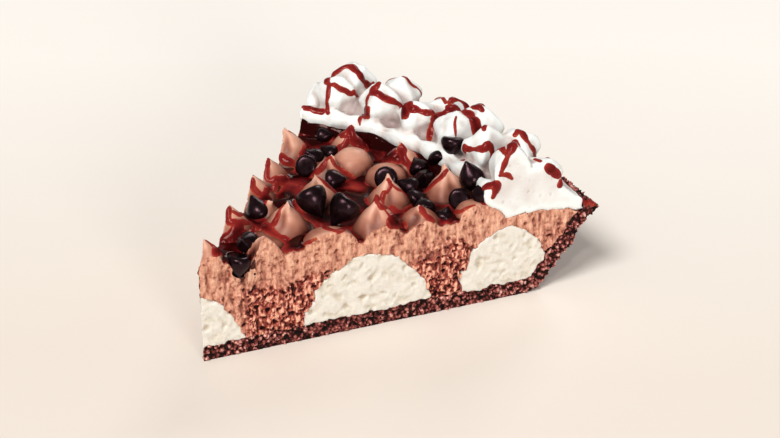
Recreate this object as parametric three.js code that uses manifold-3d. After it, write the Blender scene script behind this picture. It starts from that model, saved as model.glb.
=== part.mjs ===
// Chocolate sundae pie slice, in millimetres, +Z up.
// The middle of the whole pie is the tip of the slice, and +X runs from the tip to the rim.
// Angles are taken about the tip: minus half the slice angle is the front cut, plus half the far cut.

import * as THREE from 'three';
import { mergeVertices } from 'three/addons/utils/BufferGeometryUtils.js';
import Module from 'manifold-3d';

const wasm = await Module();
wasm.setup();

// Whole slice
const SLICE_DEGREES = 52;
const RIM_RADIUS = 105;
const SEAM_GAP = 0.3;
const FAN_STEPS = 8;
const FACET_TOLERANCE = 0.2;

// Cookie-crumb crust
const CRUST_THICKNESS = 4.4;
const CRUST_BEND_RADIUS = 86;
const CRUST_BEND_FILLET = 6;
const CRUST_WALL_DEGREES = 54;
const CRUST_RIM_HEIGHT = 22;
const CORNER_SLACK = 0.6;
const CRUMB_DEPTH = 0.45;
const CRUST_STATIONS = 34;
const CRUST_ROWS = 3;

// Chocolate filling: its bed, which ends in a shelf under the whipped topping
const TIP_HEIGHT = 26.2;
const TIP_RISE_RADIUS = 14;
const BED_HEIGHT = 24.9;
const BED_RIPPLE = 0.7;
const BED_STEPS = 8;
const BED_RADIUS = 71;
const TOPPING_FOOT_RADIUS = 74.2;

// Vanilla cream: a mound in the middle of the pie and two rings round it
const CENTRE_MOUND = { radius: 0, halfWidth: 10.4, top: 17.6, power: 1.45 };
const INNER_RING = { radius: 42.5, halfWidth: 16.7, top: 20.4, power: 1.75 };
const OUTER_RING = { radius: 79.2, halfWidth: 11.7, top: 20.2, power: 2.1 };
const MOUND_STEPS = 10;

// Piped chocolate kisses, ring by ring: polar angle in degrees, peak height, half width at the bed
const KISS_RINGS = [
  { radius: 4, kisses: [[25.2, 32.6, 4.8], [-25.5, 28.4, 2.6]] },
  { radius: 15.8, kisses: [[-26, 32.8, 5.4]] },
  { radius: 20.3, kisses: [[25.9, 33, 5.8]] },
  { radius: 28, kisses: [[-2.1, 33, 5.8]] },
  { radius: 30, kisses: [[14, 29.6, 4.4]] },
  { radius: 37, kisses: [[26.6, 33, 6]] },
  { radius: 43.4, kisses: [[4, 32.8, 5.8]] },
  { radius: 44, kisses: [[-5.5, 28.4, 4]] },
  { radius: 46.9, kisses: [[-20.6, 33, 5.8]] },
  { radius: 48, kisses: [[25.6, 31.6, 5.4]] },
  { radius: 55.5, kisses: [[-10.8, 32.6, 5.6], [10.8, 31.2, 4.6]] },
  { radius: 57.8, kisses: [[-22.3, 29.6, 4.8]] },
  { radius: 61.6, kisses: [[24.8, 33, 5.8]] },
  { radius: 69.2, kisses: [[13.1, 33, 5.4]] },
  { radius: 70.4, kisses: [[-0.8, 32.8, 6], [-14.8, 32.8, 5.6]] },
];
const KISS_POWER = 1.18;
const KISS_PINCH = 0.6;
const KISS_PINCH_DEPTH = 0.22;
const KISS_CURL = 1.1;
const KISS_SIDES = 8;
const KISS_LEVELS = 4;
const KISS_ROOT = 3.2;

// Low dollops between the kisses, without a peak
const DOLLOPS = [
  { radius: 33, degrees: -24.4, top: 28.9, halfWidth: 6.8 },
  { radius: 62.2, degrees: 8, top: 31, halfWidth: 5.8 },
  { radius: 63, degrees: -1.8, top: 29.6, halfWidth: 5.6 },
  { radius: 61, degrees: 18, top: 27.2, halfWidth: 5.5 },
  { radius: 71, degrees: -24.5, top: 28.7, halfWidth: 4.6 },
  { radius: 20, degrees: -3, top: 26.6, halfWidth: 5.5 },
];
const DOLLOP_LEVELS = 3;

// A notch that the knife tore in the front cut near the tip, narrower at its foot
const NOTCH = { radius: 10.5, degrees: -18, footHalf: 1.1, foot: 20.2, topHalf: 4.4, top: 27.6 };

// Whipped topping: two rings of lobes on one soft bank
// The bank's section as [radius, height]: what it sits on, its back from the rim up, its rolled foot
const BANK_SEAT = [[74.4, 27.9], [77.8, 25.9], [80.1, 23.9], [93, 23.6], [97.7, 22.5], [101, 22.9]];
const BANK_BACK = [[100.2, 24.4], [96, 28.3], [91.5, 32.5], [86, 35.1], [82.5, 34.6]];
const BANK_FOOT = [[79.8, 33.4], [78.2, 31.7], [76, 33], [73.8, 32], [73.3, 29.4]];
const BANK_HEIGHT = 34.5;
const BANK_EDGES = { inner: 79, outer: 90, rim: 101, fall: 10, rise: 6 };
const LOBE_RINGS = [
  {
    radius: 81.2,
    halfWidth: 7.4,
    lobes: [[20.5, 40.2], [11.2, 40.4], [2.6, 39.2], [-6.6, 41], [-15.6, 41.6], [-24.4, 42.3]],
  },
  {
    radius: 88.8,
    halfWidth: 7.8,
    lobes: [[19.4, 41], [10, 39.4], [0.8, 38], [-7.8, 40.6], [-17.6, 39.8], [-25, 36.6]],
  },
];
const LOBE_POWER = 3.4;
const LOBE_WAIST = { share: 0.74, from: 0.3, to: 0.62 };
const LOBE_SIDES = 9;
const LOBE_LEVELS = 4;
const LOBE_ROOT = 28.2;
const LOBE_CURL = 0.8;

// Chocolate chips: plan radius, polar angle, half width, height, tilt and the way it tilts
const CHIP_SEATS = [
  { radius: 10.4, degrees: -16.5, halfWidth: 3, height: 6.4, tilt: 166, turn: 200, lift: -3.2 },
  { radius: 14.9, degrees: -3.6, halfWidth: 2.9, height: 5.6, tilt: 50, turn: 200, lift: 0.6 },
  { radius: 29.2, degrees: 17.6, halfWidth: 3.2, height: 6.4, tilt: 35, turn: 90, lift: 0.6 },
  { radius: 36, degrees: -4.4, halfWidth: 3.9, height: 8.2, tilt: 136, turn: -98, lift: 3 },
  { radius: 40.4, degrees: -13.2, halfWidth: 3.9, height: 8.2, tilt: 136, turn: 168, lift: 2.6 },
  { radius: 52.6, degrees: 6.2, halfWidth: 3, height: 5, tilt: 75, turn: 300, lift: 1 },
  { radius: 54.2, degrees: 16.8, halfWidth: 2.9, height: 4.8, tilt: 118, turn: 42, lift: 1.6 },
  { radius: 60.1, degrees: 18.1, halfWidth: 2.9, height: 4.8, tilt: 40, turn: 160, lift: 0.8 },
  { radius: 64.5, degrees: 15.7, halfWidth: 2.6, height: 4.6, tilt: 62, turn: 110, lift: 0.6 },
  { radius: 72.4, degrees: 19.8, halfWidth: 2.6, height: 4.2, tilt: 70, turn: 290, lift: 0.8 },
  { radius: 59.7, degrees: -4.9, halfWidth: 3, height: 5.2, tilt: 118, turn: 42, lift: 1.8 },
  { radius: 62.9, degrees: -9.3, halfWidth: 3, height: 5, tilt: 55, turn: 130, lift: 0.6 },
  { radius: 68.6, degrees: -9.2, halfWidth: 3, height: 5.2, tilt: 35, turn: 220, lift: 0.8 },
  { radius: 61.7, degrees: -14.4, halfWidth: 2.8, height: 4.6, tilt: 70, turn: 330, lift: 0.4 },
  { radius: 60.8, degrees: -18.9, halfWidth: 2.8, height: 4.8, tilt: 60, turn: 60, lift: 0.8 },
  { radius: 69.6, degrees: -20.7, halfWidth: 2.7, height: 4.4, tilt: 118, turn: 42, lift: 1.4 },
  { radius: 64.8, degrees: -22.2, halfWidth: 2.8, height: 4.2, tilt: 40, turn: 10, lift: -0.8 },
  { radius: 71.1, degrees: -4.4, halfWidth: 2.9, height: 4.8, tilt: 50, turn: 80, lift: 1 },
];
const FOOT_CHIP_SEATS = [
  { radius: 76.9, degrees: -9.7, halfWidth: 3.1, height: 5.6, tilt: 160, turn: 200, lift: 4.2 },
  { radius: 74.2, degrees: -18.7, halfWidth: 3.3, height: 6.8, tilt: 20, turn: 120, lift: 1.6 },
  { radius: 74.3, degrees: -23.9, halfWidth: 2.8, height: 4.8, tilt: 50, turn: 250, lift: 0 },
  { radius: 75, degrees: -7.5, halfWidth: 2.8, height: 4.8, tilt: 60, turn: 40, lift: 0.6 },
];
const FOOT_CHIP_HEIGHT = 28.6;
const CHIP_SIDES = 7;
const CHIP_SUNK = 0.4;
// A chip from its base to its point, as shares of its half width and height
const CHIP_OUTLINE = [[0, 0], [0.82, 0], [1, 0.2], [0.8, 0.5], [0.3, 0.84], [0, 1]];

// Sauce: half width of a strand, and how far its middle lies above what it is draped on
const STRAND_RADIUS = 1.5;
const STRAND_LIFT = 0.35;
const STRAND_SIDES = 4;
const STRAND_SPACING = 5.2;

// Each strand runs over plan points: radius and polar angle in degrees
const FILLING_STRANDS = [
  [[4, 25], [11, 14], [17, 4], [16, -26]],
  [[20.3, 25.9], [23, 12], [30, 14], [37, 26]],
  [[28, -2.1], [26, -9], [24, -17], [16, -26]],
  [[28, -2.1], [36, 1], [43.4, 4], [50, -3], [47, -13], [46.9, -20.6]],
  [[46.9, -20.6], [38, -19], [33, -21], [27, -18]],
  [[43.4, 4], [45, 15], [48, 25.6]],
  [[43.4, 4], [55.5, 10.4], [61, 18], [61.6, 24.8]],
  [[55.5, 10.4], [56, 2], [55.5, -10.9], [50, -16], [46.9, -20.6]],
  [[69.4, 12.9], [62, 13], [55.5, 10.4]],
  [[61.6, 24.8], [71, 19], [69.4, 12.9], [67, 5], [70.4, -0.8]],
  [[70.4, -0.8], [64, -9], [55.5, -10.9], [57, -17], [57.8, -22.3]],
  [[70.4, -14.8], [62, -9], [57, -5]],
  [[70.4, -14.8], [66, -21], [69.5, -24]],
];
const TOPPING_STRANDS = [
  [[78, 22.6], [83, 22.6], [88, 20], [87, 15.5], [80, 16]],
  [[76.5, 13], [78, 12], [88, 10.6], [91.5, 6], [90, 0], [87, -5]],
  [[78, 12], [80, 7], [79.5, 3], [78, -1], [82, -4], [78.5, -3.4]],
  [[88, -3], [93, -6], [90, -9.6], [84, -7]],
  [[81, -6.6], [86, -10], [82, -15.6], [88, -17.6], [92, -21], [94, -23]],
  [[82, -11], [84.5, -17], [80, -20.6]],
];

// Torn pits low in both cuts of the filling, beside the vanilla mounds
const PIT_COUNT = 6;
const PIT_RADIUS = 1.3;
const PIT_STARTS = [13, 59.5];
const PIT_SPREAD = 8;
const PIT_HEIGHT = 7;

const COLOURS = {
  crust: '#3a1812',
  filling: '#b5785c',
  vanilla: '#efe8d8',
  topping: '#f2ece6',
  chip: '#1f0d10',
};

const FRONT_NORMAL = planPoint(1, -SLICE_DEGREES / 2 - 90, 0);
const FAR_NORMAL = planPoint(1, SLICE_DEGREES / 2 + 90, 0);

// Repeatable scatter between 0 and 1 for a whole number
function scatter(index) {
  const wave = Math.sin(index * 12.9898) * 43758.5453;
  return wave - Math.floor(wave);
}

function planPoint(radius, degrees, z) {
  const angle = THREE.MathUtils.degToRad(degrees);
  return new THREE.Vector3(radius * Math.cos(angle), radius * Math.sin(angle), z);
}

// Joins equal corners and leaves out triangles that have no area
function weld(geometry) {
  geometry.deleteAttribute('normal');
  geometry.deleteAttribute('uv');
  const welded = mergeVertices(geometry, 1e-4);
  const index = welded.getIndex().array;
  const kept = [];
  for (let i = 0; i < index.length; i += 3) {
    const [a, b, c] = [index[i], index[i + 1], index[i + 2]];
    if (a !== b && b !== c && c !== a) kept.push(a, b, c);
  }
  welded.setIndex(kept);
  return welded;
}

// Six times the enclosed volume, positive when the faces look outward
function signedVolume(geometry) {
  const position = geometry.getAttribute('position');
  const index = geometry.getIndex().array;
  const corners = [new THREE.Vector3(), new THREE.Vector3(), new THREE.Vector3()];
  let total = 0;
  for (let i = 0; i < index.length; i += 3) {
    corners.forEach((corner, k) => corner.fromBufferAttribute(position, index[i + k]));
    total += corners[0].dot(corners[1].cross(corners[2]));
  }
  return total;
}

function faceOutward(geometry) {
  if (signedVolume(geometry) < 0) {
    const index = geometry.getIndex().array;
    for (let i = 0; i < index.length; i += 3) {
      [index[i + 1], index[i + 2]] = [index[i + 2], index[i + 1]];
    }
  }
  return geometry;
}

function toSolid(geometry) {
  const closed = faceOutward(weld(geometry));
  const mesh = new wasm.Mesh({
    numProp: 3,
    vertProperties: new Float32Array(closed.getAttribute('position').array),
    triVerts: new Uint32Array(closed.getIndex().array),
  });
  return new wasm.Manifold(mesh);
}

// The largest body of a solid, its facets merged where they differ by less than the tolerance
function onePiece(solid) {
  const bodies = solid.simplify(FACET_TOLERANCE).decompose();
  return bodies.reduce((largest, body) => (body.volume() > largest.volume() ? body : largest));
}

function toGeometry(solid) {
  const mesh = solid.getMesh();
  const geometry = new THREE.BufferGeometry();
  geometry.setAttribute('position', new THREE.BufferAttribute(new Float32Array(mesh.vertProperties), 3));
  geometry.setIndex(new THREE.BufferAttribute(new Uint32Array(mesh.triVerts), 1));
  geometry.computeVertexNormals();
  return geometry;
}

function fromTriangles(points, triangles) {
  const geometry = new THREE.BufferGeometry();
  geometry.setAttribute('position', new THREE.Float32BufferAttribute(points.flatMap((p) => p.toArray()), 3));
  geometry.setIndex(triangles);
  return geometry;
}

// Numbers of the outline points that turn a corner, without repeats and points in line
function cornerNumbers(outline) {
  let kept = outline.map((_, i) => i);
  let before = 0;
  while (kept.length !== before) {
    before = kept.length;
    for (let i = kept.length - 1; i >= 0; i--) {
      const [ar, az] = outline[kept[(i + kept.length - 1) % kept.length]];
      const [br, bz] = outline[kept[i]];
      const [cr, cz] = outline[kept[(i + 1) % kept.length]];
      const area = (br - ar) * (cz - az) - (bz - az) * (cr - ar);
      if (Math.abs(area) < 1e-4) kept = kept.filter((_, at) => at !== i);
    }
  }
  return kept;
}

// Sweeps a closed section, whose points are [radius, z], about the tip from the front cut to the far cut
function fanSolid(fullSectionAt, steps = FAN_STEPS) {
  const points = [];
  const triangles = [];
  const first = fullSectionAt(-SLICE_DEGREES / 2);
  const corners = cornerNumbers(first);
  if (THREE.ShapeUtils.isClockWise(first.map(([r, z]) => new THREE.Vector2(r, z)))) corners.reverse();
  const sectionAt = (degrees) => {
    const full = fullSectionAt(degrees);
    return corners.map((corner) => full[corner]);
  };
  const sides = corners.length;
  for (let k = 0; k <= steps; k++) {
    const degrees = SLICE_DEGREES * (k / steps - 0.5);
    sectionAt(degrees).forEach(([radius, z]) => points.push(planPoint(radius, degrees, z)));
  }
  for (let k = 0; k < steps; k++) {
    for (let i = 0; i < sides; i++) {
      const [a, b] = [k * sides + i, k * sides + ((i + 1) % sides)];
      triangles.push(a, b, b + sides, a, b + sides, a + sides);
    }
  }
  [0, steps].forEach((k) => {
    const outline = sectionAt(SLICE_DEGREES * (k / steps - 0.5)).map(([r, z]) => new THREE.Vector2(r, z));
    THREE.ShapeUtils.triangulateShape(outline, []).forEach(([a, b, c]) => {
      const base = k * sides;
      triangles.push(...(k === 0 ? [base + a, base + c, base + b] : [base + a, base + b, base + c]));
    });
  });
  return toSolid(fromTriangles(points, triangles));
}

// A block of cells bent into shape: place takes three shares between 0 and 1 and their cell numbers
function bentBlock(counts, place) {
  const points = [];
  const triangles = [];
  const facePairs = [[0, 1, 2], [1, 2, 0], [2, 0, 1]];
  facePairs.forEach(([u, v, w]) => {
    [0, counts[w]].forEach((level) => {
      const base = points.length;
      for (let i = 0; i <= counts[u]; i++) {
        for (let j = 0; j <= counts[v]; j++) {
          const cell = [0, 0, 0];
          [cell[u], cell[v], cell[w]] = [i, j, level];
          points.push(place(cell));
        }
      }
      const row = counts[v] + 1;
      for (let i = 0; i < counts[u]; i++) {
        for (let j = 0; j < counts[v]; j++) {
          const [a, b] = [base + i * row + j, base + (i + 1) * row + j];
          if (level) triangles.push(a, b, b + 1, a, b + 1, a + 1);
          else triangles.push(a, b + 1, b, a, a + 1, b + 1);
        }
      }
    });
  });
  return toSolid(fromTriangles(points, triangles));
}

// The slice's own wedge, taller and longer than anything in it
function sliceWedge() {
  const [below, above, beyond] = [-20, 80, 160];
  return fanSolid(() => [[0, below], [beyond, below], [beyond, above], [0, above]], 1);
}

// Underside of the crust: flat, a fillet, then the leaning wall. A share of 0 is the tip and 1 the rim.
function crustPath(offset) {
  const lean = THREE.MathUtils.degToRad(CRUST_WALL_DEGREES);
  const fillet = CRUST_BEND_FILLET - offset;
  const end = [
    CRUST_BEND_RADIUS + fillet * Math.sin(lean),
    CRUST_BEND_FILLET - fillet * Math.cos(lean),
  ];
  const wallLength = (CRUST_RIM_HEIGHT - end[1]) / Math.sin(lean);
  const bendLength = CRUST_BEND_FILLET;
  const total = CRUST_BEND_RADIUS + bendLength + wallLength;
  return (share) => {
    const run = share * total;
    if (run <= CRUST_BEND_RADIUS) return [run, offset];
    if (run <= CRUST_BEND_RADIUS + bendLength) {
      const turned = (lean * (run - CRUST_BEND_RADIUS)) / bendLength;
      return [
        CRUST_BEND_RADIUS + fillet * Math.sin(turned),
        CRUST_BEND_FILLET - fillet * Math.cos(turned),
      ];
    }
    const up = run - CRUST_BEND_RADIUS - bendLength;
    return [end[0] + up * Math.cos(lean), end[1] + up * Math.sin(lean)];
  };
}

const crustInside = crustPath(CRUST_THICKNESS);

// Radius of the crust's inner face at a height above its floor
function insideRadiusAt(z) {
  const [endRadius, endZ] = crustInside(1);
  const slope = Math.tan(THREE.MathUtils.degToRad(CRUST_WALL_DEGREES));
  return endRadius - (endZ - z) / slope;
}

// Keeps a point of the filling or the cream a seam's width off the crust
function insideCrust([radius, z]) {
  const slack = SEAM_GAP / Math.sin(THREE.MathUtils.degToRad(CRUST_WALL_DEGREES));
  const low = Math.max(z, CRUST_THICKNESS + SEAM_GAP);
  const bend = low < CRUST_BEND_FILLET ? CORNER_SLACK : 0;
  return [Math.min(radius, insideRadiusAt(low) - slack - bend), low];
}

function crustSolid() {
  const under = crustPath(0);
  const counts = [CRUST_STATIONS, CRUST_ROWS, FAN_STEPS];
  return bentBlock(counts, ([i, j, k]) => {
    const share = i / CRUST_STATIONS;
    const [lowRadius, lowZ] = under(share);
    const [highRadius, highZ] = crustInside(share);
    const rise = j / CRUST_ROWS;
    const degrees = SLICE_DEGREES * (k / FAN_STEPS - 0.5);
    const crumb = scatter((i * CRUST_ROWS + j) * FAN_STEPS * 2 + k) - 0.5;
    let radius = THREE.MathUtils.lerp(lowRadius, highRadius, rise);
    let z = THREE.MathUtils.lerp(lowZ, highZ, rise);
    if (i === CRUST_STATIONS && j < CRUST_ROWS) z += crumb * CRUMB_DEPTH * 2;
    if (j === 0 && lowZ > 0) radius += crumb * CRUMB_DEPTH * 2;
    const point = planPoint(radius, degrees, z);
    const onCut = i > 0 && (k === 0 || k === FAN_STEPS);
    if (onCut && j < CRUST_ROWS) {
      point.addScaledVector(k === 0 ? FRONT_NORMAL : FAR_NORMAL, crumb * CRUMB_DEPTH * 2);
    }
    return point;
  });
}

// Outline of a cream mound from its outer foot over the top to its inner foot, grown by an allowance
function moundOutline({ radius, halfWidth, top, power }, grown) {
  const floor = CRUST_THICKNESS + SEAM_GAP;
  const outline = [];
  for (let i = 0; i <= MOUND_STEPS; i++) {
    const turn = (Math.PI * i) / MOUND_STEPS;
    const across = Math.sign(Math.cos(turn)) * Math.abs(Math.cos(turn)) ** (2 / power);
    const up = Math.sin(turn) ** (2 / power);
    const reached = radius + (halfWidth + grown) * across;
    if (reached > -1e-3) outline.push([Math.max(0, reached), floor + (top + grown - floor) * up]);
  }
  return outline;
}

function moundSolid(mound) {
  const onTip = mound.radius === 0 ? [[0, CRUST_THICKNESS + SEAM_GAP]] : [];
  return fanSolid(() => [...moundOutline(mound, 0).map(insideCrust), ...onTip]);
}

// Height of the chocolate bed before the kisses are piped on
function bedHeight(radius, degrees) {
  const ripple = Math.sin(radius * 0.42 + degrees * 0.17) * Math.cos(radius * 0.13 - degrees * 0.23);
  const towardTip = Math.max(0, 1 - radius / TIP_RISE_RADIUS);
  return BED_HEIGHT + BED_RIPPLE * ripple * (1 - towardTip) + (TIP_HEIGHT - BED_HEIGHT) * towardTip;
}

function fillingSection(degrees) {
  const bed = [];
  for (let i = 0; i < BED_STEPS; i++) {
    const radius = (BED_RADIUS * i) / (BED_STEPS - 1);
    bed.push([radius, bedHeight(radius, degrees)]);
  }
  const shelf = BANK_SEAT.slice(0, -2).map(([radius, z]) => [radius, z - SEAM_GAP]);
  const lip = insideCrust([RIM_RADIUS, CRUST_RIM_HEIGHT - SEAM_GAP]);
  const clear = (point) => point[0] < insideCrust(point)[0] + 1e-6;
  const outer = moundOutline(OUTER_RING, SEAM_GAP).filter(clear);
  return [
    ...bed,
    ...shelf,
    lip,
    insideCrust([RIM_RADIUS, outer[0][1] + SEAM_GAP * 2]),
    ...outer,
    ...moundOutline(INNER_RING, SEAM_GAP),
    ...moundOutline(CENTRE_MOUND, SEAM_GAP),
  ];
}

// Half width of a kiss at a share of the way down from its peak, pinched near the point
function kissShape(down) {
  const pinch = THREE.MathUtils.lerp(KISS_PINCH, 1, Math.min(1, down / KISS_PINCH_DEPTH));
  return pinch * (1 - (1 - down) ** KISS_POWER);
}

function kissList() {
  return KISS_RINGS.flatMap(({ radius, kisses }) => (
    kisses.map(([degrees, peak, halfWidth]) => ({ radius, degrees, peak, halfWidth }))
  ));
}

function lobeList() {
  return LOBE_RINGS.flatMap(({ radius, halfWidth, lobes }) => (
    lobes.map(([degrees, peak]) => ({ radius, degrees, peak, halfWidth }))
  ));
}

// A round piped shape standing on foot, with its point bent over
function pipedSolid(profile, sides, centre, curl, turn) {
  const lathe = new THREE.LatheGeometry(profile.map(([r, z]) => new THREE.Vector2(r, z)), sides);
  lathe.rotateX(Math.PI / 2);
  const position = lathe.getAttribute('position');
  const top = profile[profile.length - 1][1];
  for (let i = 0; i < position.count; i++) {
    const share = Math.max(0, position.getZ(i) / top);
    const bend = curl * share ** 4;
    position.setX(i, position.getX(i) + bend * Math.cos(turn));
    position.setY(i, position.getY(i) + bend * Math.sin(turn));
  }
  lathe.translate(centre.x, centre.y, centre.z);
  return toSolid(lathe);
}

function kissSolid(kiss, index) {
  const height = kiss.peak - BED_HEIGHT;
  const profile = [[0, -KISS_ROOT], [kiss.halfWidth, -KISS_ROOT]];
  for (let i = 1; i <= KISS_LEVELS; i++) {
    const down = 1 - i / KISS_LEVELS;
    profile.push([kiss.halfWidth * kissShape(down), height * (1 - down)]);
  }
  const turn = 2 * Math.PI * scatter(index + 40);
  return pipedSolid(profile, KISS_SIDES, planPoint(kiss.radius, kiss.degrees, BED_HEIGHT), KISS_CURL, turn);
}

function dollopSolid({ radius, degrees, top, halfWidth }) {
  const rise = top - BED_HEIGHT;
  const profile = [[0, -KISS_ROOT], [halfWidth, -KISS_ROOT]];
  for (let i = 0; i <= DOLLOP_LEVELS; i++) {
    const turn = (Math.PI / 2) * (i / DOLLOP_LEVELS);
    profile.push([halfWidth * Math.cos(turn), rise * Math.sin(turn)]);
  }
  profile[profile.length - 1][0] = 0;
  return pipedSolid(profile, LOBE_SIDES, planPoint(radius, degrees, BED_HEIGHT), 0, 0);
}

// Height of the chocolate, kisses and dollops included, at a plan point
function fillingTop(x, y) {
  const radius = Math.hypot(x, y);
  const degrees = THREE.MathUtils.radToDeg(Math.atan2(y, x));
  let z = bedHeight(radius, degrees);
  kissList().forEach((kiss) => {
    const centre = planPoint(kiss.radius, kiss.degrees, 0);
    const away = Math.hypot(x - centre.x, y - centre.y) / kiss.halfWidth;
    if (away < 1) z = Math.max(z, BED_HEIGHT + (kiss.peak - BED_HEIGHT) * (1 - away) ** 1.1);
  });
  DOLLOPS.forEach((dollop) => {
    const centre = planPoint(dollop.radius, dollop.degrees, 0);
    const away = Math.hypot(x - centre.x, y - centre.y) / dollop.halfWidth;
    if (away < 1) z = Math.max(z, BED_HEIGHT + (dollop.top - BED_HEIGHT) * Math.sqrt(1 - away * away));
  });
  return z;
}

// The soft bank under the lobes, grown by an allowance: downward at its seat, outward everywhere else
function bankSection(grown) {
  const seat = BANK_SEAT.map(([radius, z]) => [radius, z - grown]);
  const back = BANK_BACK.map(([radius, z]) => [radius, z + grown]);
  const foot = BANK_FOOT.map(([radius, z]) => [radius - grown, z]);
  return [...seat, ...back, ...foot];
}

function lobeSolid(lobe, index, grown) {
  const height = lobe.peak + grown - LOBE_ROOT;
  const halfWidth = lobe.halfWidth + grown;
  const profile = [[0, 0], [halfWidth * 0.75, 0]];
  for (let i = 1; i <= LOBE_LEVELS; i++) {
    const up = 0.1 + (0.9 * i) / LOBE_LEVELS;
    const { share, from, to } = LOBE_WAIST;
    const fullness = share + (1 - share) * THREE.MathUtils.smoothstep(up, from, to);
    profile.push([halfWidth * fullness * (1 - up ** LOBE_POWER), height * up]);
  }
  profile[profile.length - 1][0] = 0;
  const turn = 2 * Math.PI * scatter(index + 90);
  return pipedSolid(profile, LOBE_SIDES, planPoint(lobe.radius, lobe.degrees, LOBE_ROOT), LOBE_CURL, turn);
}

function toppingBody(grown) {
  const lobes = lobeList().map((lobe, index) => lobeSolid(lobe, index, grown));
  return wasm.Manifold.union([fanSolid(() => bankSection(grown)), ...lobes]);
}

// Height of the whipped topping at a plan point
function toppingTop(x, y) {
  const radius = Math.hypot(x, y);
  const { inner, outer, rim, fall, rise } = BANK_EDGES;
  const outward = THREE.MathUtils.clamp((radius - outer) / (rim - outer), 0, 1);
  const inward = THREE.MathUtils.clamp((inner - radius) / (inner - TOPPING_FOOT_RADIUS), 0, 1);
  let z = BANK_HEIGHT - fall * outward ** 1.4 - rise * inward ** 1.5;
  lobeList().forEach((lobe) => {
    const centre = planPoint(lobe.radius, lobe.degrees, 0);
    const away = Math.hypot(x - centre.x, y - centre.y) / lobe.halfWidth;
    if (away < 1) z = Math.max(z, LOBE_ROOT + (lobe.peak - LOBE_ROOT) * (1 - away) ** (1 / LOBE_POWER));
  });
  return z;
}

// A strand of sauce draped over what lies below its plan points
function strandSolid(planPoints, heightAt) {
  const corners = planPoints.map(([radius, degrees]) => planPoint(radius, degrees, 0));
  const flat = new THREE.CatmullRomCurve3(corners);
  const count = Math.ceil(flat.getLength() / STRAND_SPACING) + 1;
  const draped = flat.getSpacedPoints(count);
  draped.forEach((point) => point.setZ(heightAt(point.x, point.y) + STRAND_LIFT));
  const shape = new THREE.Shape();
  for (let i = 0; i < STRAND_SIDES; i++) {
    const turn = (2 * Math.PI * i) / STRAND_SIDES;
    const corner = [STRAND_RADIUS * Math.cos(turn), STRAND_RADIUS * Math.sin(turn)];
    if (i === 0) shape.moveTo(...corner);
    else shape.lineTo(...corner);
  }
  const strand = new THREE.ExtrudeGeometry(shape, {
    steps: count,
    bevelEnabled: false,
    extrudePath: new THREE.CatmullRomCurve3(draped),
  });
  return toSolid(strand);
}

// A chip is a drop: a flat base with a rounded edge, a full body and a blunt point
function chipSolid(seat, heightAt, grown) {
  const wide = seat.halfWidth + grown;
  const tall = seat.height + 2 * grown;
  const profile = CHIP_OUTLINE.map(([across, up]) => new THREE.Vector2(wide * across, tall * up));
  const chip = new THREE.LatheGeometry(profile, CHIP_SIDES);
  chip.rotateX(Math.PI / 2);
  chip.translate(0, 0, -grown - seat.height * CHIP_SUNK);
  chip.rotateY(THREE.MathUtils.degToRad(seat.tilt));
  chip.rotateZ(THREE.MathUtils.degToRad(seat.turn));
  const centre = planPoint(seat.radius, seat.degrees, 0);
  chip.translate(centre.x, centre.y, heightAt(seat) + seat.lift);
  return toSolid(chip);
}

// Chips among the kisses rest on the bed; chips on the topping's foot rest a little higher
const chipOnBed = (seat) => bedHeight(seat.radius, seat.degrees) + seat.height / 4;
const chipOnFoot = (seat) => FOOT_CHIP_HEIGHT + seat.height / 4;

function allChips(grown) {
  return [
    ...CHIP_SEATS.map((seat) => chipSolid(seat, chipOnBed, grown)),
    ...FOOT_CHIP_SEATS.map((seat) => chipSolid(seat, chipOnFoot, grown)),
  ];
}

// Small rounded pits, torn out of a cut face where the filling is coarse
function pitSolids() {
  const pits = [];
  for (let i = 0; i < PIT_COUNT; i++) {
    const degrees = i % 2 ? SLICE_DEGREES / 2 : -SLICE_DEGREES / 2;
    const start = PIT_STARTS[Math.floor(i / 2) % PIT_STARTS.length];
    const ball = new THREE.IcosahedronGeometry(PIT_RADIUS, 0);
    const radius = start + PIT_SPREAD * scatter(i + 300);
    const centre = planPoint(radius, degrees, PIT_HEIGHT + PIT_SPREAD * scatter(i + 500));
    ball.translate(centre.x, centre.y, centre.z);
    pits.push(toSolid(ball));
  }
  return pits;
}

// The notch, carried on upward past everything over it
function notchSolid() {
  const { radius, degrees, footHalf, foot, topHalf, top } = NOTCH;
  const above = 2;
  const tall = (top - foot) * above;
  const wide = footHalf + (topHalf - footHalf) * above;
  const cone = new THREE.CylinderGeometry(wide, footHalf, tall, KISS_SIDES);
  cone.rotateX(Math.PI / 2);
  const middle = planPoint(radius, degrees, foot + tall / 2);
  cone.translate(middle.x, middle.y, middle.z);
  return toSolid(cone);
}

function fillingSolid(wedge, sockets) {
  const parts = [
    fanSolid(fillingSection),
    ...kissList().map(kissSolid),
    ...DOLLOPS.map(dollopSolid),
    ...FILLING_STRANDS.map((points) => strandSolid(points, fillingTop)),
  ];
  const piped = wasm.Manifold.union(parts).intersect(wedge);
  const cutters = [toppingBody(SEAM_GAP), notchSolid(), ...sockets, ...pitSolids()];
  return onePiece(wasm.Manifold.difference([piped, ...cutters]));
}

function toppingSolid(wedge, sockets) {
  const strands = TOPPING_STRANDS.map((points) => strandSolid(points, toppingTop));
  const whipped = wasm.Manifold.union([toppingBody(0), ...strands]).intersect(wedge);
  return onePiece(wasm.Manifold.difference([whipped, ...sockets]));
}

function creamMaterial(colour, roughness) {
  return new THREE.MeshStandardMaterial({ color: colour, roughness, metalness: 0 });
}

function namedMesh(name, solid, material) {
  const mesh = new THREE.Mesh(toGeometry(solid), material);
  mesh.name = name;
  return mesh;
}

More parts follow.
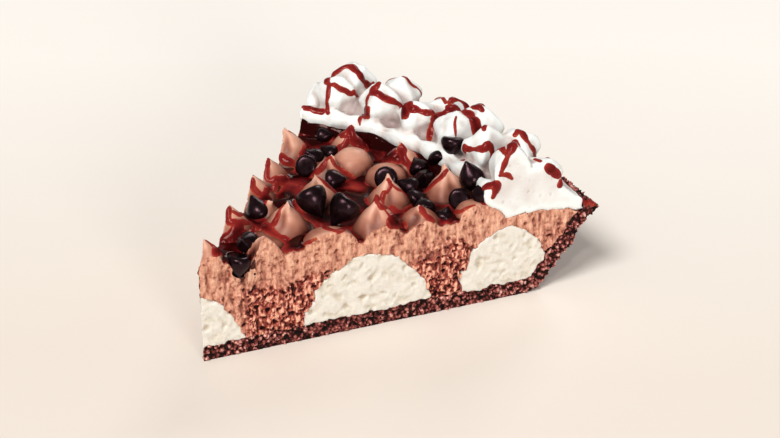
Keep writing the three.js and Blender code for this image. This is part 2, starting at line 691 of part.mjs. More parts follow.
function buildSlice() {
  const wedge = sliceWedge();
  const sockets = allChips(SEAM_GAP);
  const slice = new THREE.Group();
  slice.name = 'chocolate_sundae_pie_slice';
  slice.add(namedMesh('crust', crustSolid(), creamMaterial(COLOURS.crust, 0.9)));
  const filling = fillingSolid(wedge, sockets);
  slice.add(namedMesh('chocolate_filling', filling, creamMaterial(COLOURS.filling, 0.5)));
  slice.add(namedMesh('vanilla_centre', moundSolid(CENTRE_MOUND), creamMaterial(COLOURS.vanilla, 0.7)));
  slice.add(namedMesh('vanilla_ring_inner', moundSolid(INNER_RING), creamMaterial(COLOURS.vanilla, 0.7)));
  slice.add(namedMesh('vanilla_ring_outer', moundSolid(OUTER_RING), creamMaterial(COLOURS.vanilla, 0.7)));
  slice.add(namedMesh('whipped_topping', toppingSolid(wedge, sockets), creamMaterial(COLOURS.topping, 0.6)));
  allChips(0).forEach((chip, index) => {
    const name = `chip_${String(index + 1).padStart(2, '0')}`;
    slice.add(namedMesh(name, chip, creamMaterial(COLOURS.chip, 0.3)));
  });
  return slice;
}

// Moves the slice so that its box stands on z = 0 with its middle over the origin
function centred(slice) {
  const box = new THREE.Box3().setFromObject(slice);
  const middle = box.getCenter(new THREE.Vector3());
  slice.position.set(-middle.x, -middle.y, -box.min.z);
  return slice;
}

export default centred(buildSlice());
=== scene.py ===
"""The chocolate sundae pie slice, dressed: crumb crust, torn chocolate filling with piped kisses, vanilla
mounds, whipped rim, chips and poured sauce. Shapes are worked in millimetres about the tip of the slice, and
then laid in the frame."""

import math

import bmesh
import bpy
from mathutils import Matrix, Vector, noise
from mathutils.bvhtree import BVHTree
from mathutils.kdtree import KDTree


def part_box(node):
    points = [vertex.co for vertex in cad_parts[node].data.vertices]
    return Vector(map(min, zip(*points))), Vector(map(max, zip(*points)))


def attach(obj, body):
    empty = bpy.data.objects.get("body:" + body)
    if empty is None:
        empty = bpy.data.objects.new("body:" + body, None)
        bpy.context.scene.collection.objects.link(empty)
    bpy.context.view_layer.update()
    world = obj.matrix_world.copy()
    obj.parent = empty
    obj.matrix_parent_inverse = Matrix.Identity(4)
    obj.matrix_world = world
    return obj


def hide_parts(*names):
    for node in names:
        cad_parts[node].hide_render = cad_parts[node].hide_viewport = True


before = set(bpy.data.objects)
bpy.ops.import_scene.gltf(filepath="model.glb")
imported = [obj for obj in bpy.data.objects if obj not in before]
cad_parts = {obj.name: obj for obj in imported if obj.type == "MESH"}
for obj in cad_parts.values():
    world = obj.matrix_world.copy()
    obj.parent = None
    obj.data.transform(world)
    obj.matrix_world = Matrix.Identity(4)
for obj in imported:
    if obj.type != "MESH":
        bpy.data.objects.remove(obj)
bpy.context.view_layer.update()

# Where the slice lies: its tip, and millimetres to metres
MM = 0.001
ring_low, ring_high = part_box("vanilla_ring_outer")
TIP = Vector((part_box("crust")[0].x, (ring_low.y + ring_high.y) / 2, 0.0))

# Fineness of the fused meshes, in millimetres
FINE = 0.34
CREAM_FINE = 0.42

SLICE_DEGREES = 52.0
HALF_SLICE = SLICE_DEGREES / 2
FAN_STEPS = 26

# Crust, its section in stations, and the sizes of its coarse and fine crumbs
CRUST_STATIONS = 34
COARSE_CRUMB, FINE_CRUMB = 1.5, 0.85
CRUMB_DEPTH = 1.4
CRUST_THICKNESS = 4.4
CRUST_BEND = 86.0
CRUST_FILLET = 6.0
WALL_LEAN = math.radians(54.0)
RIM_HEIGHT = 22.0

# Painted shade on the chocolate's smooth skin: darkest at this height in metres, and palest this much higher
KISS_SHADE_FROM, KISS_SHADE_RISE = 0.0245, 0.0085

# How far neighbouring layers reach into one another, so that no gap shows where they meet
LAP = 0.35

# Filling
TIP_HEIGHT = 26.2
TIP_RISE = 14.0
BED_HEIGHT = 24.9
BED_RIPPLE = 0.7
BED_RADIUS = 71.0

# Vanilla mounds: middle radius, half width, top, fullness
MOUNDS = {
    "vanilla_centre": (0.0, 10.4, 17.6, 1.45),
    "vanilla_ring_inner": (42.5, 16.7, 20.4, 1.75),
    "vanilla_ring_outer": (79.2, 11.7, 20.2, 2.1),
}

# Kisses by ring: polar angle, peak height, half width at the bed
KISS_RINGS = [
    (4, [(25.2, 32.6, 4.8), (-25.5, 28.4, 2.6)]),
    (15.8, [(-26, 32.8, 5.4)]),
    (20.3, [(25.9, 33, 5.8)]),
    (28, [(-2.1, 33, 5.8)]),
    (30, [(14, 29.6, 4.4)]),
    (37, [(26.6, 33, 6)]),
    (43.4, [(4, 32.8, 5.8)]),
    (44, [(-5.5, 28.4, 4)]),
    (46.9, [(-20.6, 33, 5.8)]),
    (48, [(25.6, 31.6, 5.4)]),
    (55.5, [(-10.8, 32.6, 5.6), (10.8, 31.2, 4.6)]),
    (57.8, [(-22.3, 29.6, 4.8)]),
    (61.6, [(24.8, 33, 5.8)]),
    (69.2, [(13.1, 33, 5.4)]),
    (70.4, [(-0.8, 32.8, 6), (-14.8, 32.8, 5.6)]),
]
KISS_LEVELS, KISS_SIDES = 18, 36
KISS_ROOT = 3.2
KISS_CURL = 1.5
KISS_SLIM = 0.3
POINT_REACH = 1.5
POINT_PULL = 1.5
POINT_DROP = 3.0
KISS_POWER = 1.18
KISS_PINCH = 0.6
KISS_PINCH_DEPTH = 0.22
KISS_FOLD = 0.44
KISS_FOLD_TURN = math.radians(232.0)
TIP_EASING = 0.6

# Low dollops: radius, polar angle, top, half width
DOLLOPS = [
    (33, -24.4, 28.9, 6.8), (62.2, 8, 31, 5.8), (63, -1.8, 29.6, 5.6),
    (61, 18, 27.2, 5.5), (71, -24.5, 28.7, 4.6), (20, -3, 26.6, 5.5),
]

# A notch that the knife tore in the front cut near the tip: its middle, foot and top as (half width, height)
NOTCH = {"radius": 10.5, "degrees": -18.0, "foot": (1.1, 20.2), "top": (4.4, 27.6)}
NOTCH_MARGIN = 6.0

# Whipped topping
BANK_SEAT = [(74.4, 27.9), (77.8, 25.9), (80.1, 23.7), (93.0, 23.4), (97.7, 22.3), (101.0, 22.5)]
BANK_BACK = [(100.2, 24.4), (96.0, 28.3), (91.5, 32.5), (86.0, 35.1), (82.5, 34.6)]
BANK_FOOT = [(79.6, 33.2), (78.4, 30.9), (77.3, 31.7), (76.0, 33.0), (74.7, 32.8), (73.6, 31.9),
             (73.2, 30.5), (73.5, 29.0)]
LOBE_RINGS = [
    (81.2, 7.4, [(20.5, 40.2), (11.2, 40.4), (2.6, 39.2), (-6.6, 41.0), (-15.6, 41.6), (-24.4, 42.3)]),
    (88.8, 7.8, [(19.4, 41.0), (10.0, 39.4), (0.8, 38.0), (-7.8, 40.6), (-17.6, 39.8), (-25.0, 36.6)]),
]
LOBE_GAPS = [(a[0] + b[0]) / 2 for a, b in zip(LOBE_RINGS[0][2], LOBE_RINGS[0][2][1:])]
LOBE_LEVELS, LOBE_SIDES = 16, 48
LOBE_ROOT = 28.2
LOBE_WAIST = 0.74
LOBE_POWER = 3.4
LOBE_EASING = 0.7
LOBE_RIDGES = 4
LOBE_HOLLOW = 0.3
HOLLOW_ROUNDS = 60

# Chips: plan radius, polar angle, half width, height, tilt, turn, lift
CHIP_SEATS = [
    (10.4, -16.5, 3, 6.4, 166, 200, -3.2), (14.9, -3.6, 2.9, 5.6, 50, 200, 0.6),
    (29.2, 17.6, 3.2, 6.4, 35, 90, 0.6),
    (36, -4.4, 3.9, 8.2, 136, -98, 3), (40.4, -13.2, 3.9, 8.2, 136, 168, 2.6),
    (52.6, 6.2, 3, 5, 75, 300, 1),
    (54.2, 16.8, 2.9, 4.8, 118, 42, 1.6), (60.1, 18.1, 2.9, 4.8, 40, 160, 0.8),
    (64.5, 15.7, 2.6, 4.6, 62, 110, 0.6),
    (72.4, 19.8, 2.6, 4.2, 70, 290, 0.8), (59.7, -4.9, 3, 5.2, 118, 42, 1.8),
    (62.9, -9.3, 3, 5, 55, 130, 0.6),
    (68.6, -9.2, 3, 5.2, 35, 220, 0.8), (61.7, -14.4, 2.8, 4.6, 70, 330, 0.4),
    (60.8, -18.9, 2.8, 4.8, 60, 60, 0.8),
    (69.6, -20.7, 2.7, 4.4, 118, 42, 1.4), (64.8, -22.2, 2.8, 4.2, 40, 10, -0.8),
    (71.1, -4.4, 2.9, 4.8, 50, 80, 1),
]
FOOT_CHIP_SEATS = [
    (76.9, -9.7, 3.1, 5.6, 160, 200, 4.2), (74.2, -18.7, 3.3, 6.8, 20, 120, 1.6),
    (74.3, -23.9, 2.8, 4.8, 50, 250, 0),
    (75, -7.5, 2.8, 4.8, 60, 40, 0.6),
]
FOOT_CHIP_HEIGHT = 28.6

# Sauce: thickness as a share of the ribbon's half width, how much the ribbons run out, and the spacing of
# points along them in mm; the skin under it is sunk, and nothing lies below the foot
SAUCE_DEPTH = 0.34
SAUCE_SPREAD = 1.05
RIBBON_STEP = 0.5
SAUCE_SUNK = 0.3
SAUCE_FOOT = 20.0
COARSE_MARGIN, FINE_MARGIN = -0.4, -0.12
UNDERSIDE_SHARE = 0.3
SAUCE_TRIANGLES = 180000

# Pools of sauce between the kisses: lowest and highest point, clear of the cuts, out to a radius
POOL_LOW, POOL_HIGH = 22.5, 29.8
POOL_OFF_CUT = 0.4
POOL_REACH = 75.5
POOL_DEPTH = 0.55
POOL_UNEVEN = 1.1
POOL_CLIMB = 0.5
# The pool stands deep at the topping's foot: sauce lies there, and its near-black colour also paints the shade
# under the foot
FOOT_POOL_DEPTH = 3.9
FOOT_POOL_FROM, FOOT_POOL_TO = 71.2, 73.8

# Sauce ribbons: half width, then the way as (radius, polar angle), with a height where the ribbon lies on a cut
FILLING_RIBBONS = [
    (0.7, [(4, 25.2), (5, 13.7), (6, 9.5), (14.3, 23.1)]),
    (1.25, [(19.1, 15.3), (17.6, 15.3), (15.6, 17.3), (14.1, 21.8), (6.1, -0.5), (4.6, -14)]),
    (0.95, [(20.3, 25.9), (19.5, 25.6), (19, 25.2), (17.7, 22.3), (18.8, 16.4), (22, 14.1)]),
    (0.8, [(20.1, 21.4), (21.3, 18.7), (27, 21.3), (24.7, 14.9), (20.4, 8.1), (18.9, 10.8), (18.2, 14.7)]),
    (0.85, [(37, 26.6), (36.3, 25.5), (35.4, 24.6), (35, 22.2), (35.1, 19.7)]),
    (1.9, [(35.7, 19.7), (33, 16.5), (30.6, 14.6)]),
    (0.8, [(35.7, 19.7), (39.7, 20.6), (44.4, 21.3), (45.9, 19.7), (46, 17.3)]),
    (1.0, [(48, 25.6), (46.6, 25.4), (44.9, 24.6), (44.6, 23.1), (45.8, 21), (47.8, 19.1), (47.8, 16.3)]),
    (1.15, [(57.4, 25.6), (56.6, 24.2), (56.7, 21.7)]),
    (0.75, [(61.9, 24.8), (66, 24.6), (71.9, 24.8), (71.4, 23.3), (62.6, 21.1), (59, 20.7), (56.5, 20.8),
            (51.6, 20.2)]),
    (0.9, [(72.2, 24.7), (71.8, 22.5), (71.9, 20), (72.6, 17.7), (67.9, 13.7), (69.2, 13.1)]),
    (0.8, [(55.5, 10.8), (53.9, 11.3), (52.8, 12.2), (52.7, 14.5), (49.5, 15.1), (45.2, 14.2),
            (41.4, 13.5)]),
    (0.95, [(40.4, 12.6), (37.3, 6.1), (36.4, 0.3), (36, -5.6), (34.6, -14), (33.1, -20.9), (34.4, -24.7)]),
    (0.75, [(28, -2.1), (26.8, -0.8), (25.4, -1.3), (24, -0.7), (23.7, 3.8)]),
    (1.1, [(25.8, 15.1), (25.4, 11.2), (23.7, 3.8), (23.1, -3), (23.6, -8.8), (24.6, -13.5),
            (24.6, -21.9)]),
    (0.5, [(24.6, -21.9), (26.5, -23.1), (28.1, -25.4), (29.3, -25.8)]),
    (0.85, [(43.4, 4), (44.6, 2.2), (45.2, 0.9), (46.7, -0.3), (48.3, -1.8), (47.6, -6.2), (48.6, -8.5)]),
    (0.85, [(69.2, 13.1), (67.8, 12.4), (65.9, 12.7), (64.8, 14), (60.5, 12.4), (55.5, 10.8)]),
    (1.35, [(69.2, 13.1), (68.8, 10.8), (71.5, 9.8), (72.4, 7.7), (72.7, 5.3), (68.2, -0.1)]),
    (1.7, [(71.3, 8.7), (71.1, 5.9), (67.7, 0.9), (68.1, -1.4)]),
    (1.0, [(70.6, 9.3), (70.1, 7.7), (67.9, 5.3)]),
    (1.15, [(70.4, -0.8), (69.2, -1.5), (68.7, -2.7), (69, -4), (68.6, -4.7)]),
    (0.65, [(55.5, 10.8), (55.4, 8.9), (56.7, 7.6), (57.3, 5.5), (58.2, 3.3), (57.4, -0.4), (53.5, -8.3)]),
    (0.8, [(51.7, 8.8), (52.9, 6.7), (53.8, 4.7), (53.5, 1.6), (52.4, -2.3), (51, -7.3), (46.9, -20.6)]),
    (0.65, [(55.5, -10.8), (55.6, -11.8), (54.1, -12.3), (52.4, -12.6), (46.9, -20.6)]),
    (0.5, [(55.7, -11.7), (57, -12.9), (58.9, -12.8), (60.9, -13)]),
    (0.75, [(46.9, -20.6), (48.3, -21.7), (53, -15.4), (54.5, -16.5), (56.4, -16.7), (58.8, -15.6),
            (61.8, -13.8)]),
    (0.65, [(46.9, -20.6), (48.1, -22.3), (48.9, -23.5), (49.4, -24.3)]),
    (1.9, [(49.1, -25), (51.5, -23.2), (52.7, -23.5)]),
    (0.75, [(46.9, -20.6), (47.5, -14), (46.2, -11.4), (43.3, -13.4), (40.6, -15.5), (38.5, -20),
            (35.7, -24.8), (33.9, -23.7)]),
    (0.85, [(70.4, -14.8), (69.1, -14.9), (67.7, -14.4), (66.4, -13.4), (65.5, -12.3), (61.8, -13.8)]),
    (0.5, [(64.8, -18), (65.8, -20.1), (66.7, -22.7), (67.3, -25), (69.1, -25.5), (70.9, -25.6)]),
    (0.9, [(57.8, -22.3), (58, -24.1), (58.7, -25.1), (59.9, -25.4)]),
]
TOPPING_RIBBONS = [
    (0.95, [(78.5, 21), (80.5, 22), (85.6, 22.2), (86.7, 21.6), (88, 20.4), (87.8, 19), (87.1, 17.8),
            (87.1, 16.8),
            (88.3, 16.3), (90.1, 15.9)]),
    (0.75, [(78.4, 20.7), (78.6, 19.1), (79.4, 17.9), (80.7, 16.9), (82.4, 16.5)]),
    (0.75, [(78.2, 20.9), (76, 20.5), (75.5, 20.6), (74.7, 20)]),
    (1.0, [(81.8, 11.6), (80.4, 11.6), (79.1, 12.2), (79.2, 10.2), (80.1, 8.9), (81.3, 7.8), (82.4, 6.6),
            (80.3, 4.4),
           (78.2, 2.4), (79.4, 0.9)]),
    (1.3, [(80.5, 5.2), (78.3, 4.1), (76.4, 2.5)]),
    (0.6, [(79.1, 12.4), (78.2, 12.7), (76.7, 12.2), (76.5, 12.8)]),
    (0.9, [(76.7, 12.9), (75.5, 11.2)]),
    (0.5, [(76.7, 13.2), (74.9, 12.9), (73.9, 12.4)]),
    (0.65, [(89.5, 13.1), (90.4, 12.5), (91, 9), (92.5, 8), (93, 6), (91, 3.6), (87.9, -0.1)]),
    (0.85, [(79.4, 0.9), (81.4, -0.3), (84.2, -0.2), (86.9, -1.4), (89.7, -1.4)]),
    (0.9, [(84.5, -0.9), (80.8, -1.2), (79.7, -1.4), (78.4, -2.1)]),
    (0.95, [(88.5, -0.5), (91.6, -0.1), (93.4, -1.2), (92, -4), (90.3, -7), (88.2, -6.5), (87.9, -8.6)]),
    (1.1, [(87.2, -0.8), (89.8, -1.7), (87.5, -4.2), (85.6, -5.6), (85.6, -7.4), (84.6, -8.7),
            (84.2, -10), (82, -14),
           (80.2, -16)]),
    (0.8, [(76, -13.8), (76.8, -16.3), (77.9, -18.3), (80.3, -19), (79, -24.8)]),
    (1.35, [(86.8, -18.9), (83.2, -22.6), (80.6, -25.2), (79.4, -25.6)]),
    (0.8, [(79.5, -25.8, 41), (78.3, -26, 38.4), (77.6, -26, 36.6)]),
    (1.05, [(87.8, -17.9), (90.3, -17.2), (89.8, -18.8), (90.5, -19.7), (92.6, -20.4), (91.9, -24)]),
    (0.9, [(88.5, -23.7), (88.8, -25)]),
    (1.0, [(90.2, -26, 35.6), (92, -26, 33.9), (93.4, -26, 32.4)]),
    (1.25, [(94.8, -26, 30.8), (93.9, -26, 29.8)]),
    (1.05, [(74, -24.5, 31.9), (75.1, -25.3, 33), (76.3, -26, 33.4), (76.3, -26, 31.8), (75.6, -26, 30.1)]),
    (0.8, [(77.3, -26, 35.8), (79.2, -26, 35.6), (80.6, -26, 34.2)]),
    (0.4, [(80, -8), (78.6, -8.8), (78.2, -9.5)]),
    (1.1, [(75.4, 25.4), (75, 24.4), (74.8, 23), (74.8, 21.5)]),
]
RIM_RIBBONS = [
    (1.0, [(101.4, -22.6, 24.0), (102.4, -23.8, 23.0), (103.4, -24.6, 22.6), (104.0, -25.4, 22.0)]),
    (0.8, [(101.6, -25.4, 23.6), (103.0, -24.8, 22.6)]),
]


def scatter(index):
    """Repeatable share between 0 and 1 for a whole number."""
    wave = math.sin(index * 12.9898) * 43758.5453
    return wave - math.floor(wave)


def clamp(value, low=0.0, high=1.0):
    return max(low, min(high, value))


def ease(value, low, high):
    """0 below low, 1 above high, smooth between; low may be the larger."""
    share = clamp((value - low) / (high - low))
    return share * share * (3 - 2 * share)


def lay(radius, degrees, z=0.0):
    angle = math.radians(degrees)
    return Vector((radius * math.cos(angle), radius * math.sin(angle), z))


FRONT_OUT = lay(1, -HALF_SLICE - 90)
FAR_OUT = lay(1, HALF_SLICE + 90)


# Mesh helpers

def seal(bm):
    bmesh.ops.remove_doubles(bm, verts=bm.verts, dist=0.001)
    open_edges = [e for e in bm.edges if e.is_boundary]
    if open_edges:
        bmesh.ops.holes_fill(bm, edges=open_edges, sides=0)
    bmesh.ops.recalc_face_normals(bm, faces=bm.faces)
    return bm


def turned(profile, sides):
    """A closed shape turned about its own upright axis from a profile of (radius, z)."""
    bm = bmesh.new()
    verts = [bm.verts.new((r, 0, z)) for r, z in profile]
    edges = [bm.edges.new(pair) for pair in zip(verts, verts[1:])]
    bmesh.ops.spin(bm, geom=verts + edges, axis=(0, 0, 1), cent=(0, 0, 0), angle=math.tau, steps=sides,
                   use_merge=True, use_duplicate=False)
    return seal(bm)


def fanned(section, steps=FAN_STEPS):
    """A closed section of (radius, z) swept about the tip from cut to cut."""
    bm = bmesh.new()
    verts = [bm.verts.new(lay(r, -HALF_SLICE, z)) for r, z in section]
    face = bm.faces.new(verts)
    geom = [face, *face.edges, *verts]
    bmesh.ops.spin(bm, geom=geom, axis=(0, 0, 1), cent=(0, 0, 0), angle=math.radians(SLICE_DEGREES),
                   steps=steps, use_duplicate=False)
    return seal(bm)


def trim(bm, margin=0.0):
    """Cuts away what stands beyond the two cuts of the slice."""
    for out in (FRONT_OUT, FAR_OUT):
        geom = [*bm.verts, *bm.edges, *bm.faces]
        cut = bmesh.ops.bisect_plane(bm, geom=geom, dist=1e-5, plane_co=out * -margin, plane_no=out,
                                     clear_outer=True)
        rim = [e for e in cut["geom_cut"] if isinstance(e, bmesh.types.BMEdge)]
        if rim:
            bmesh.ops.holes_fill(bm, edges=rim, sides=0)
    bmesh.ops.recalc_face_normals(bm, faces=bm.faces)
    return bm


def gathered(parts):
    whole = bmesh.new()
    for part in parts:
        mesh = bpy.data.meshes.new("part")
        part.to_mesh(mesh)
        part.free()
        whole.from_mesh(mesh)
        bpy.data.meshes.remove(mesh)
    return whole


def with_modifier(bm, kind, groups=None, **settings):
    """The mesh as it comes out of one modifier."""
    mesh = bpy.data.meshes.new("worked")
    bm.to_mesh(mesh)
    bm.free()
    holder = bpy.data.objects.new("worked", mesh)
    bpy.context.scene.collection.objects.link(holder)
    for name, weights in (groups or {}).items():
        group = holder.vertex_groups.new(name=name)
        for index, weight in weights:
            group.add([index], weight, "REPLACE")
    modifier = holder.modifiers.new("work", kind)
    for key, value in settings.items():
        setattr(modifier, key, value)
    depsgraph = bpy.context.evaluated_depsgraph_get()
    made = bpy.data.meshes.new_from_object(holder.evaluated_get(depsgraph))
    bpy.data.objects.remove(holder)
    bpy.data.meshes.remove(mesh)
    out = bmesh.new()
    out.from_mesh(made)
    bpy.data.meshes.remove(made)
    return out


def soften(bm, verts, rounds=1):
    """Lets points settle between their neighbours."""
    for _ in range(rounds):
        bmesh.ops.smooth_vert(bm, verts=verts, factor=0.5, use_axis_x=True, use_axis_y=True, use_axis_z=True)


def fused(parts, fineness, rounds=2):
    """Parts grown together into one skin, with the corners between them eased."""
    bm = with_modifier(gathered(parts), "REMESH", mode="VOXEL", voxel_size=fineness, adaptivity=0.0)
    soften(bm, bm.verts, rounds)
    bm.normal_update()
    return bm


def thinned(bm, hidden, ratio):
    """Fewer faces where hidden(vertex) says that nothing shows."""
    bm.verts.ensure_lookup_table()
    weights = [(v.index, 1.0) for v in bm.verts if hidden(v.co)]
    return with_modifier(bm, "DECIMATE", groups={"hidden": weights}, decimate_type="COLLAPSE", ratio=ratio,
                         vertex_group="hidden", vertex_group_factor=1.0)


def finished(bm, name, material, nodes=()):
    """Lays a millimetre mesh in the frame as one piece."""
    bm.transform(Matrix.Translation(TIP) @ Matrix.Scale(MM, 4))
    for face in bm.faces:
        face.smooth = True
    mesh = bpy.data.meshes.new(name)
    bm.to_mesh(mesh)
    bm.free()
    piece = bpy.data.objects.new(name, mesh)
    bpy.context.scene.collection.objects.link(piece)
    mesh.materials.append(material)
    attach(piece, "root")
    if nodes:
        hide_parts(*nodes)
    return piece


# Shapes shared with the solids

def crust_point(share, inset):
    fillet = CRUST_FILLET - inset
    end = (CRUST_BEND + fillet * math.sin(WALL_LEAN), CRUST_FILLET - fillet * math.cos(WALL_LEAN))
    wall = (RIM_HEIGHT - end[1]) / math.sin(WALL_LEAN)
    run = share * (CRUST_BEND + CRUST_FILLET + wall)
    if run <= CRUST_BEND:
        return run, inset
    if run <= CRUST_BEND + CRUST_FILLET:
        turn = WALL_LEAN * (run - CRUST_BEND) / CRUST_FILLET
        return CRUST_BEND + fillet * math.sin(turn), CRUST_FILLET - fillet * math.cos(turn)
    up = run - CRUST_BEND - CRUST_FILLET
    return end[0] + up * math.cos(WALL_LEAN), end[1] + up * math.sin(WALL_LEAN)


def inside_radius(z):
    radius, top = crust_point(1.0, CRUST_THICKNESS)
    return radius - (top - z) / math.tan(WALL_LEAN)


def mound_outline(name, grown, steps=24):
    radius, half, top, power = MOUNDS[name]
    outline = []
    for i in range(steps + 1):
        turn = math.pi * i / steps
        across = math.copysign(abs(math.cos(turn)) ** (2 / power), math.cos(turn))
        reached = radius + (half + grown) * across
        if reached > -1e-3:
            up = max(0.0, math.sin(turn)) ** (2 / power)
            foot = CRUST_THICKNESS - LAP
            outline.append((max(0.0, reached), foot + (top + grown - foot) * up))
    return outline


def bed_height(radius, degrees):
    ripple = math.sin(radius * 0.42 + degrees * 0.17) * math.cos(radius * 0.13 - degrees * 0.23)
    tip = max(0.0, 1 - radius / TIP_RISE)
    return BED_HEIGHT + BED_RIPPLE * ripple * (1 - tip) + (TIP_HEIGHT - BED_HEIGHT) * tip


def kisses():
    return [(radius, *kiss) for radius, ring in KISS_RINGS for kiss in ring]


KISS_TIPS = [lay(radius, degrees, peak) for radius, degrees, peak, _ in kisses()]


def pointed(bm):
    """Draws the top of every kiss up into a thin, hooked point."""
    for v in bm.verts:
        for index, tip in enumerate(KISS_TIPS):
            turn = math.tau * scatter(index + 40)
            axis = tip + Vector((math.cos(turn), math.sin(turn), 0.0)) * KISS_CURL
            away = (v.co.xy - axis.xy).length
            if away < POINT_REACH and v.co.z > tip.z - POINT_DROP:
                pull = (1 - away / POINT_REACH) ** 2 * ease(v.co.z, tip.z - POINT_DROP, tip.z - 0.8)
                v.co.z += POINT_PULL * pull
                v.co.x += 0.5 * POINT_PULL * pull * pull * math.cos(turn + 0.8)
                v.co.y += 0.5 * POINT_PULL * pull * pull * math.sin(turn + 0.8)
                break
    return bm


def kiss_half(down):
    pinch = KISS_PINCH + (1 - KISS_PINCH) * min(1.0, down / KISS_PINCH_DEPTH)
    return pinch * (1 - (1 - down) ** KISS_POWER)


def bent(bm, top, curl, turn, power=4):
    for v in bm.verts:
        share = max(0.0, v.co.z / top)
        v.co.x += curl * share ** power * math.cos(turn)
        v.co.y += curl * share ** power * math.sin(turn)
    return bm


def folded(bm, top, turn):
    """Lays the crease of a pulled tip into one side of a kiss."""
    for v in bm.verts:
        up = v.co.z / top
        off = (math.atan2(v.co.y, v.co.x) - turn + math.pi) % math.tau - math.pi
        crease = math.exp(-(off / 0.5) ** 2) * ease(up, 0.05, 0.6) * (1 - ease(up, 0.84, 0.97))
        v.co.x *= 1 - KISS_FOLD * crease
        v.co.y *= 1 - KISS_FOLD * crease
    return bm


def kiss_shape(index, radius, degrees, peak, half):
    height = peak + TIP_EASING - BED_HEIGHT
    profile = [(0, -KISS_ROOT), (half * 0.9, -KISS_ROOT), (half * 1.02, -0.6)]
    for i in range(KISS_LEVELS + 1):
        down = 1 - i / KISS_LEVELS
        slim = 1 - KISS_SLIM * ease(1 - down, 0.45, 0.9)
        profile.append((half * 1.06 * slim * kiss_half(down), height * (1 - down)))
    profile[-1] = (0, height)
    bm = folded(turned(profile, KISS_SIDES), height, KISS_FOLD_TURN + 1.2 * (scatter(index + 60) - 0.5))
    bent(bm, height, KISS_CURL, math.tau * scatter(index + 40), 6)
    bmesh.ops.translate(bm, verts=bm.verts, vec=lay(radius, degrees, BED_HEIGHT))
    return trim(bm)


def dollop_shape(radius, degrees, top, half):
    rise = top - BED_HEIGHT
    profile = [(0, -KISS_ROOT), (half, -KISS_ROOT)]
    for i in range(8):
        turn = math.pi / 2 * i / 8
        profile.append((half * math.cos(turn), rise * math.sin(turn)))
    profile.append((0, rise))
    bm = turned(profile, 28)
    bmesh.ops.translate(bm, verts=bm.verts, vec=lay(radius, degrees, BED_HEIGHT))
    return trim(bm)


# Relief

def off_cut(point):
    """How far inside the nearer cut a point lies, and which way that cut faces."""
    front, far = -point.dot(FRONT_OUT), -point.dot(FAR_OUT)
    return (front, FRONT_OUT) if front < far else (far, FAR_OUT)


def crumbs(point, size, salt):
    """A bed of crumbs, 0 to 1: each cell of about size stands at its own height, domed, with a gap around it."""
    near, cells = noise.voronoi(point / size + Vector((salt, salt, salt)))
    own = noise.cell(cells[0] * 7.3)
    gap = clamp((near[1] - near[0]) * 3.2)
    return (0.35 + 0.65 * abs(own)) * gap * clamp(1.2 - 0.7 * near[0])


def stray(point):
    """Sideways wander of the borders on a cut, so that layers meet unevenly."""
    far, near = point * 0.3, point * 0.85
    return Vector((noise.noise(far) + 0.45 * noise.noise(near), noise.noise(far + Vector((9, 9, 9))),
                   noise.noise(far + Vector((31, 7, 3))) + 0.45 * noise.noise(near + Vector((5, 5, 5)))))


def wander(bm, amount=1.0, ceiling=24.0):
    for v in bm.verts:
        inside, out = off_cut(v.co)
        share = ease(inside, 2.5, 0.0) * ease(v.co.z, ceiling + 3, ceiling) * ease(v.co.z, 0.0, 2.0)
        if share > 0:
            move = stray(v.co) * amount * share
            v.co += move - out * move.dot(out)


def tear(point):
    """Where the chocolate's cut is torn into flakes (1) and where it is dragged smooth (0)."""
    radius = math.hypot(point.x, point.y)
    low = ease(point.z + 3.0 * noise.noise(point * 0.16), 20.8, 15.5)
    beside = ease(abs(radius - 22), 14, 7) + ease(abs(radius - 62), 11, 5)
    near_mound = 0.35 * ease(point.z, 25, 20)
    return clamp(low * (0.45 + 0.65 * beside) + near_mound * noise.noise(point * 0.4 + Vector((2, 2, 2))))


def torn_height(point):
    """How the chocolate's cut stands, between about -1 and 1: light drags above, shreds and pits below."""
    radius = math.hypot(point.x, point.y)
    coarse = tear(point)
    along = Vector((radius, 0, point.z))
    drag = noise.noise(Vector((radius * 0.6, 3.0, point.z * 0.2)))
    drag += 0.6 * noise.noise(Vector((radius * 1.3, 7.0, point.z * 0.6)))
    pock = -max(0.0, noise.noise(along * 0.95) - 0.22) * 2.4
    sway = 1.6 * noise.noise(along * 0.22 + Vector((8, 8, 8)))
    shred = 1.0 - 3.0 * abs(noise.noise(Vector((radius * 0.5 + sway, 1.0, point.z * 0.62 - sway))))
    shred += 1.1 * (1.0 - 3.2 * abs(noise.noise(Vector((radius * 1.15 + sway, 5.0, point.z * 0.85)))))
    pits = -max(0.0, noise.noise(along * 0.8 + Vector((31, 5, 9))) - 0.12) * 2.6
    furrow = 0.4 + 0.4 * ease(point.z, 28, 21)
    return (1 - coarse) * (furrow * drag + 0.6 * pock) + coarse * (0.6 * shred + pits - 0.3)


def tear_cuts(bm, height, depth, reach=0.3):
    """Moves the skin of both cuts by height(point) times depth, and keeps the height as an attribute, which the
    chocolate and vanilla colours use for painted shade in the pits and painted highlight on the ridges.
    """
    torn = bm.verts.layers.float.new("torn")
    relief_painted_shading = bm.verts.layers.float.new("relief_painted_shading")
    bm.normal_update()
    moves = []
    for v in bm.verts:
        inside, out = off_cut(v.co)
        v[relief_painted_shading] = 0.5
        if inside < reach and v.normal.dot(out) > 0.6:
            raised = clamp(height(v.co), -1.5, 1.0)
            v[torn] = 0.5 + 0.5 * tear(v.co)
            v[relief_painted_shading] = clamp(0.6 + 0.4 * raised)
            moves.append((v, out * (raised * depth if raised < 0 else raised * depth * 0.5)))
    for v, move in moves:
        v.co += move
    bm.normal_update()
    return bm


# Pieces

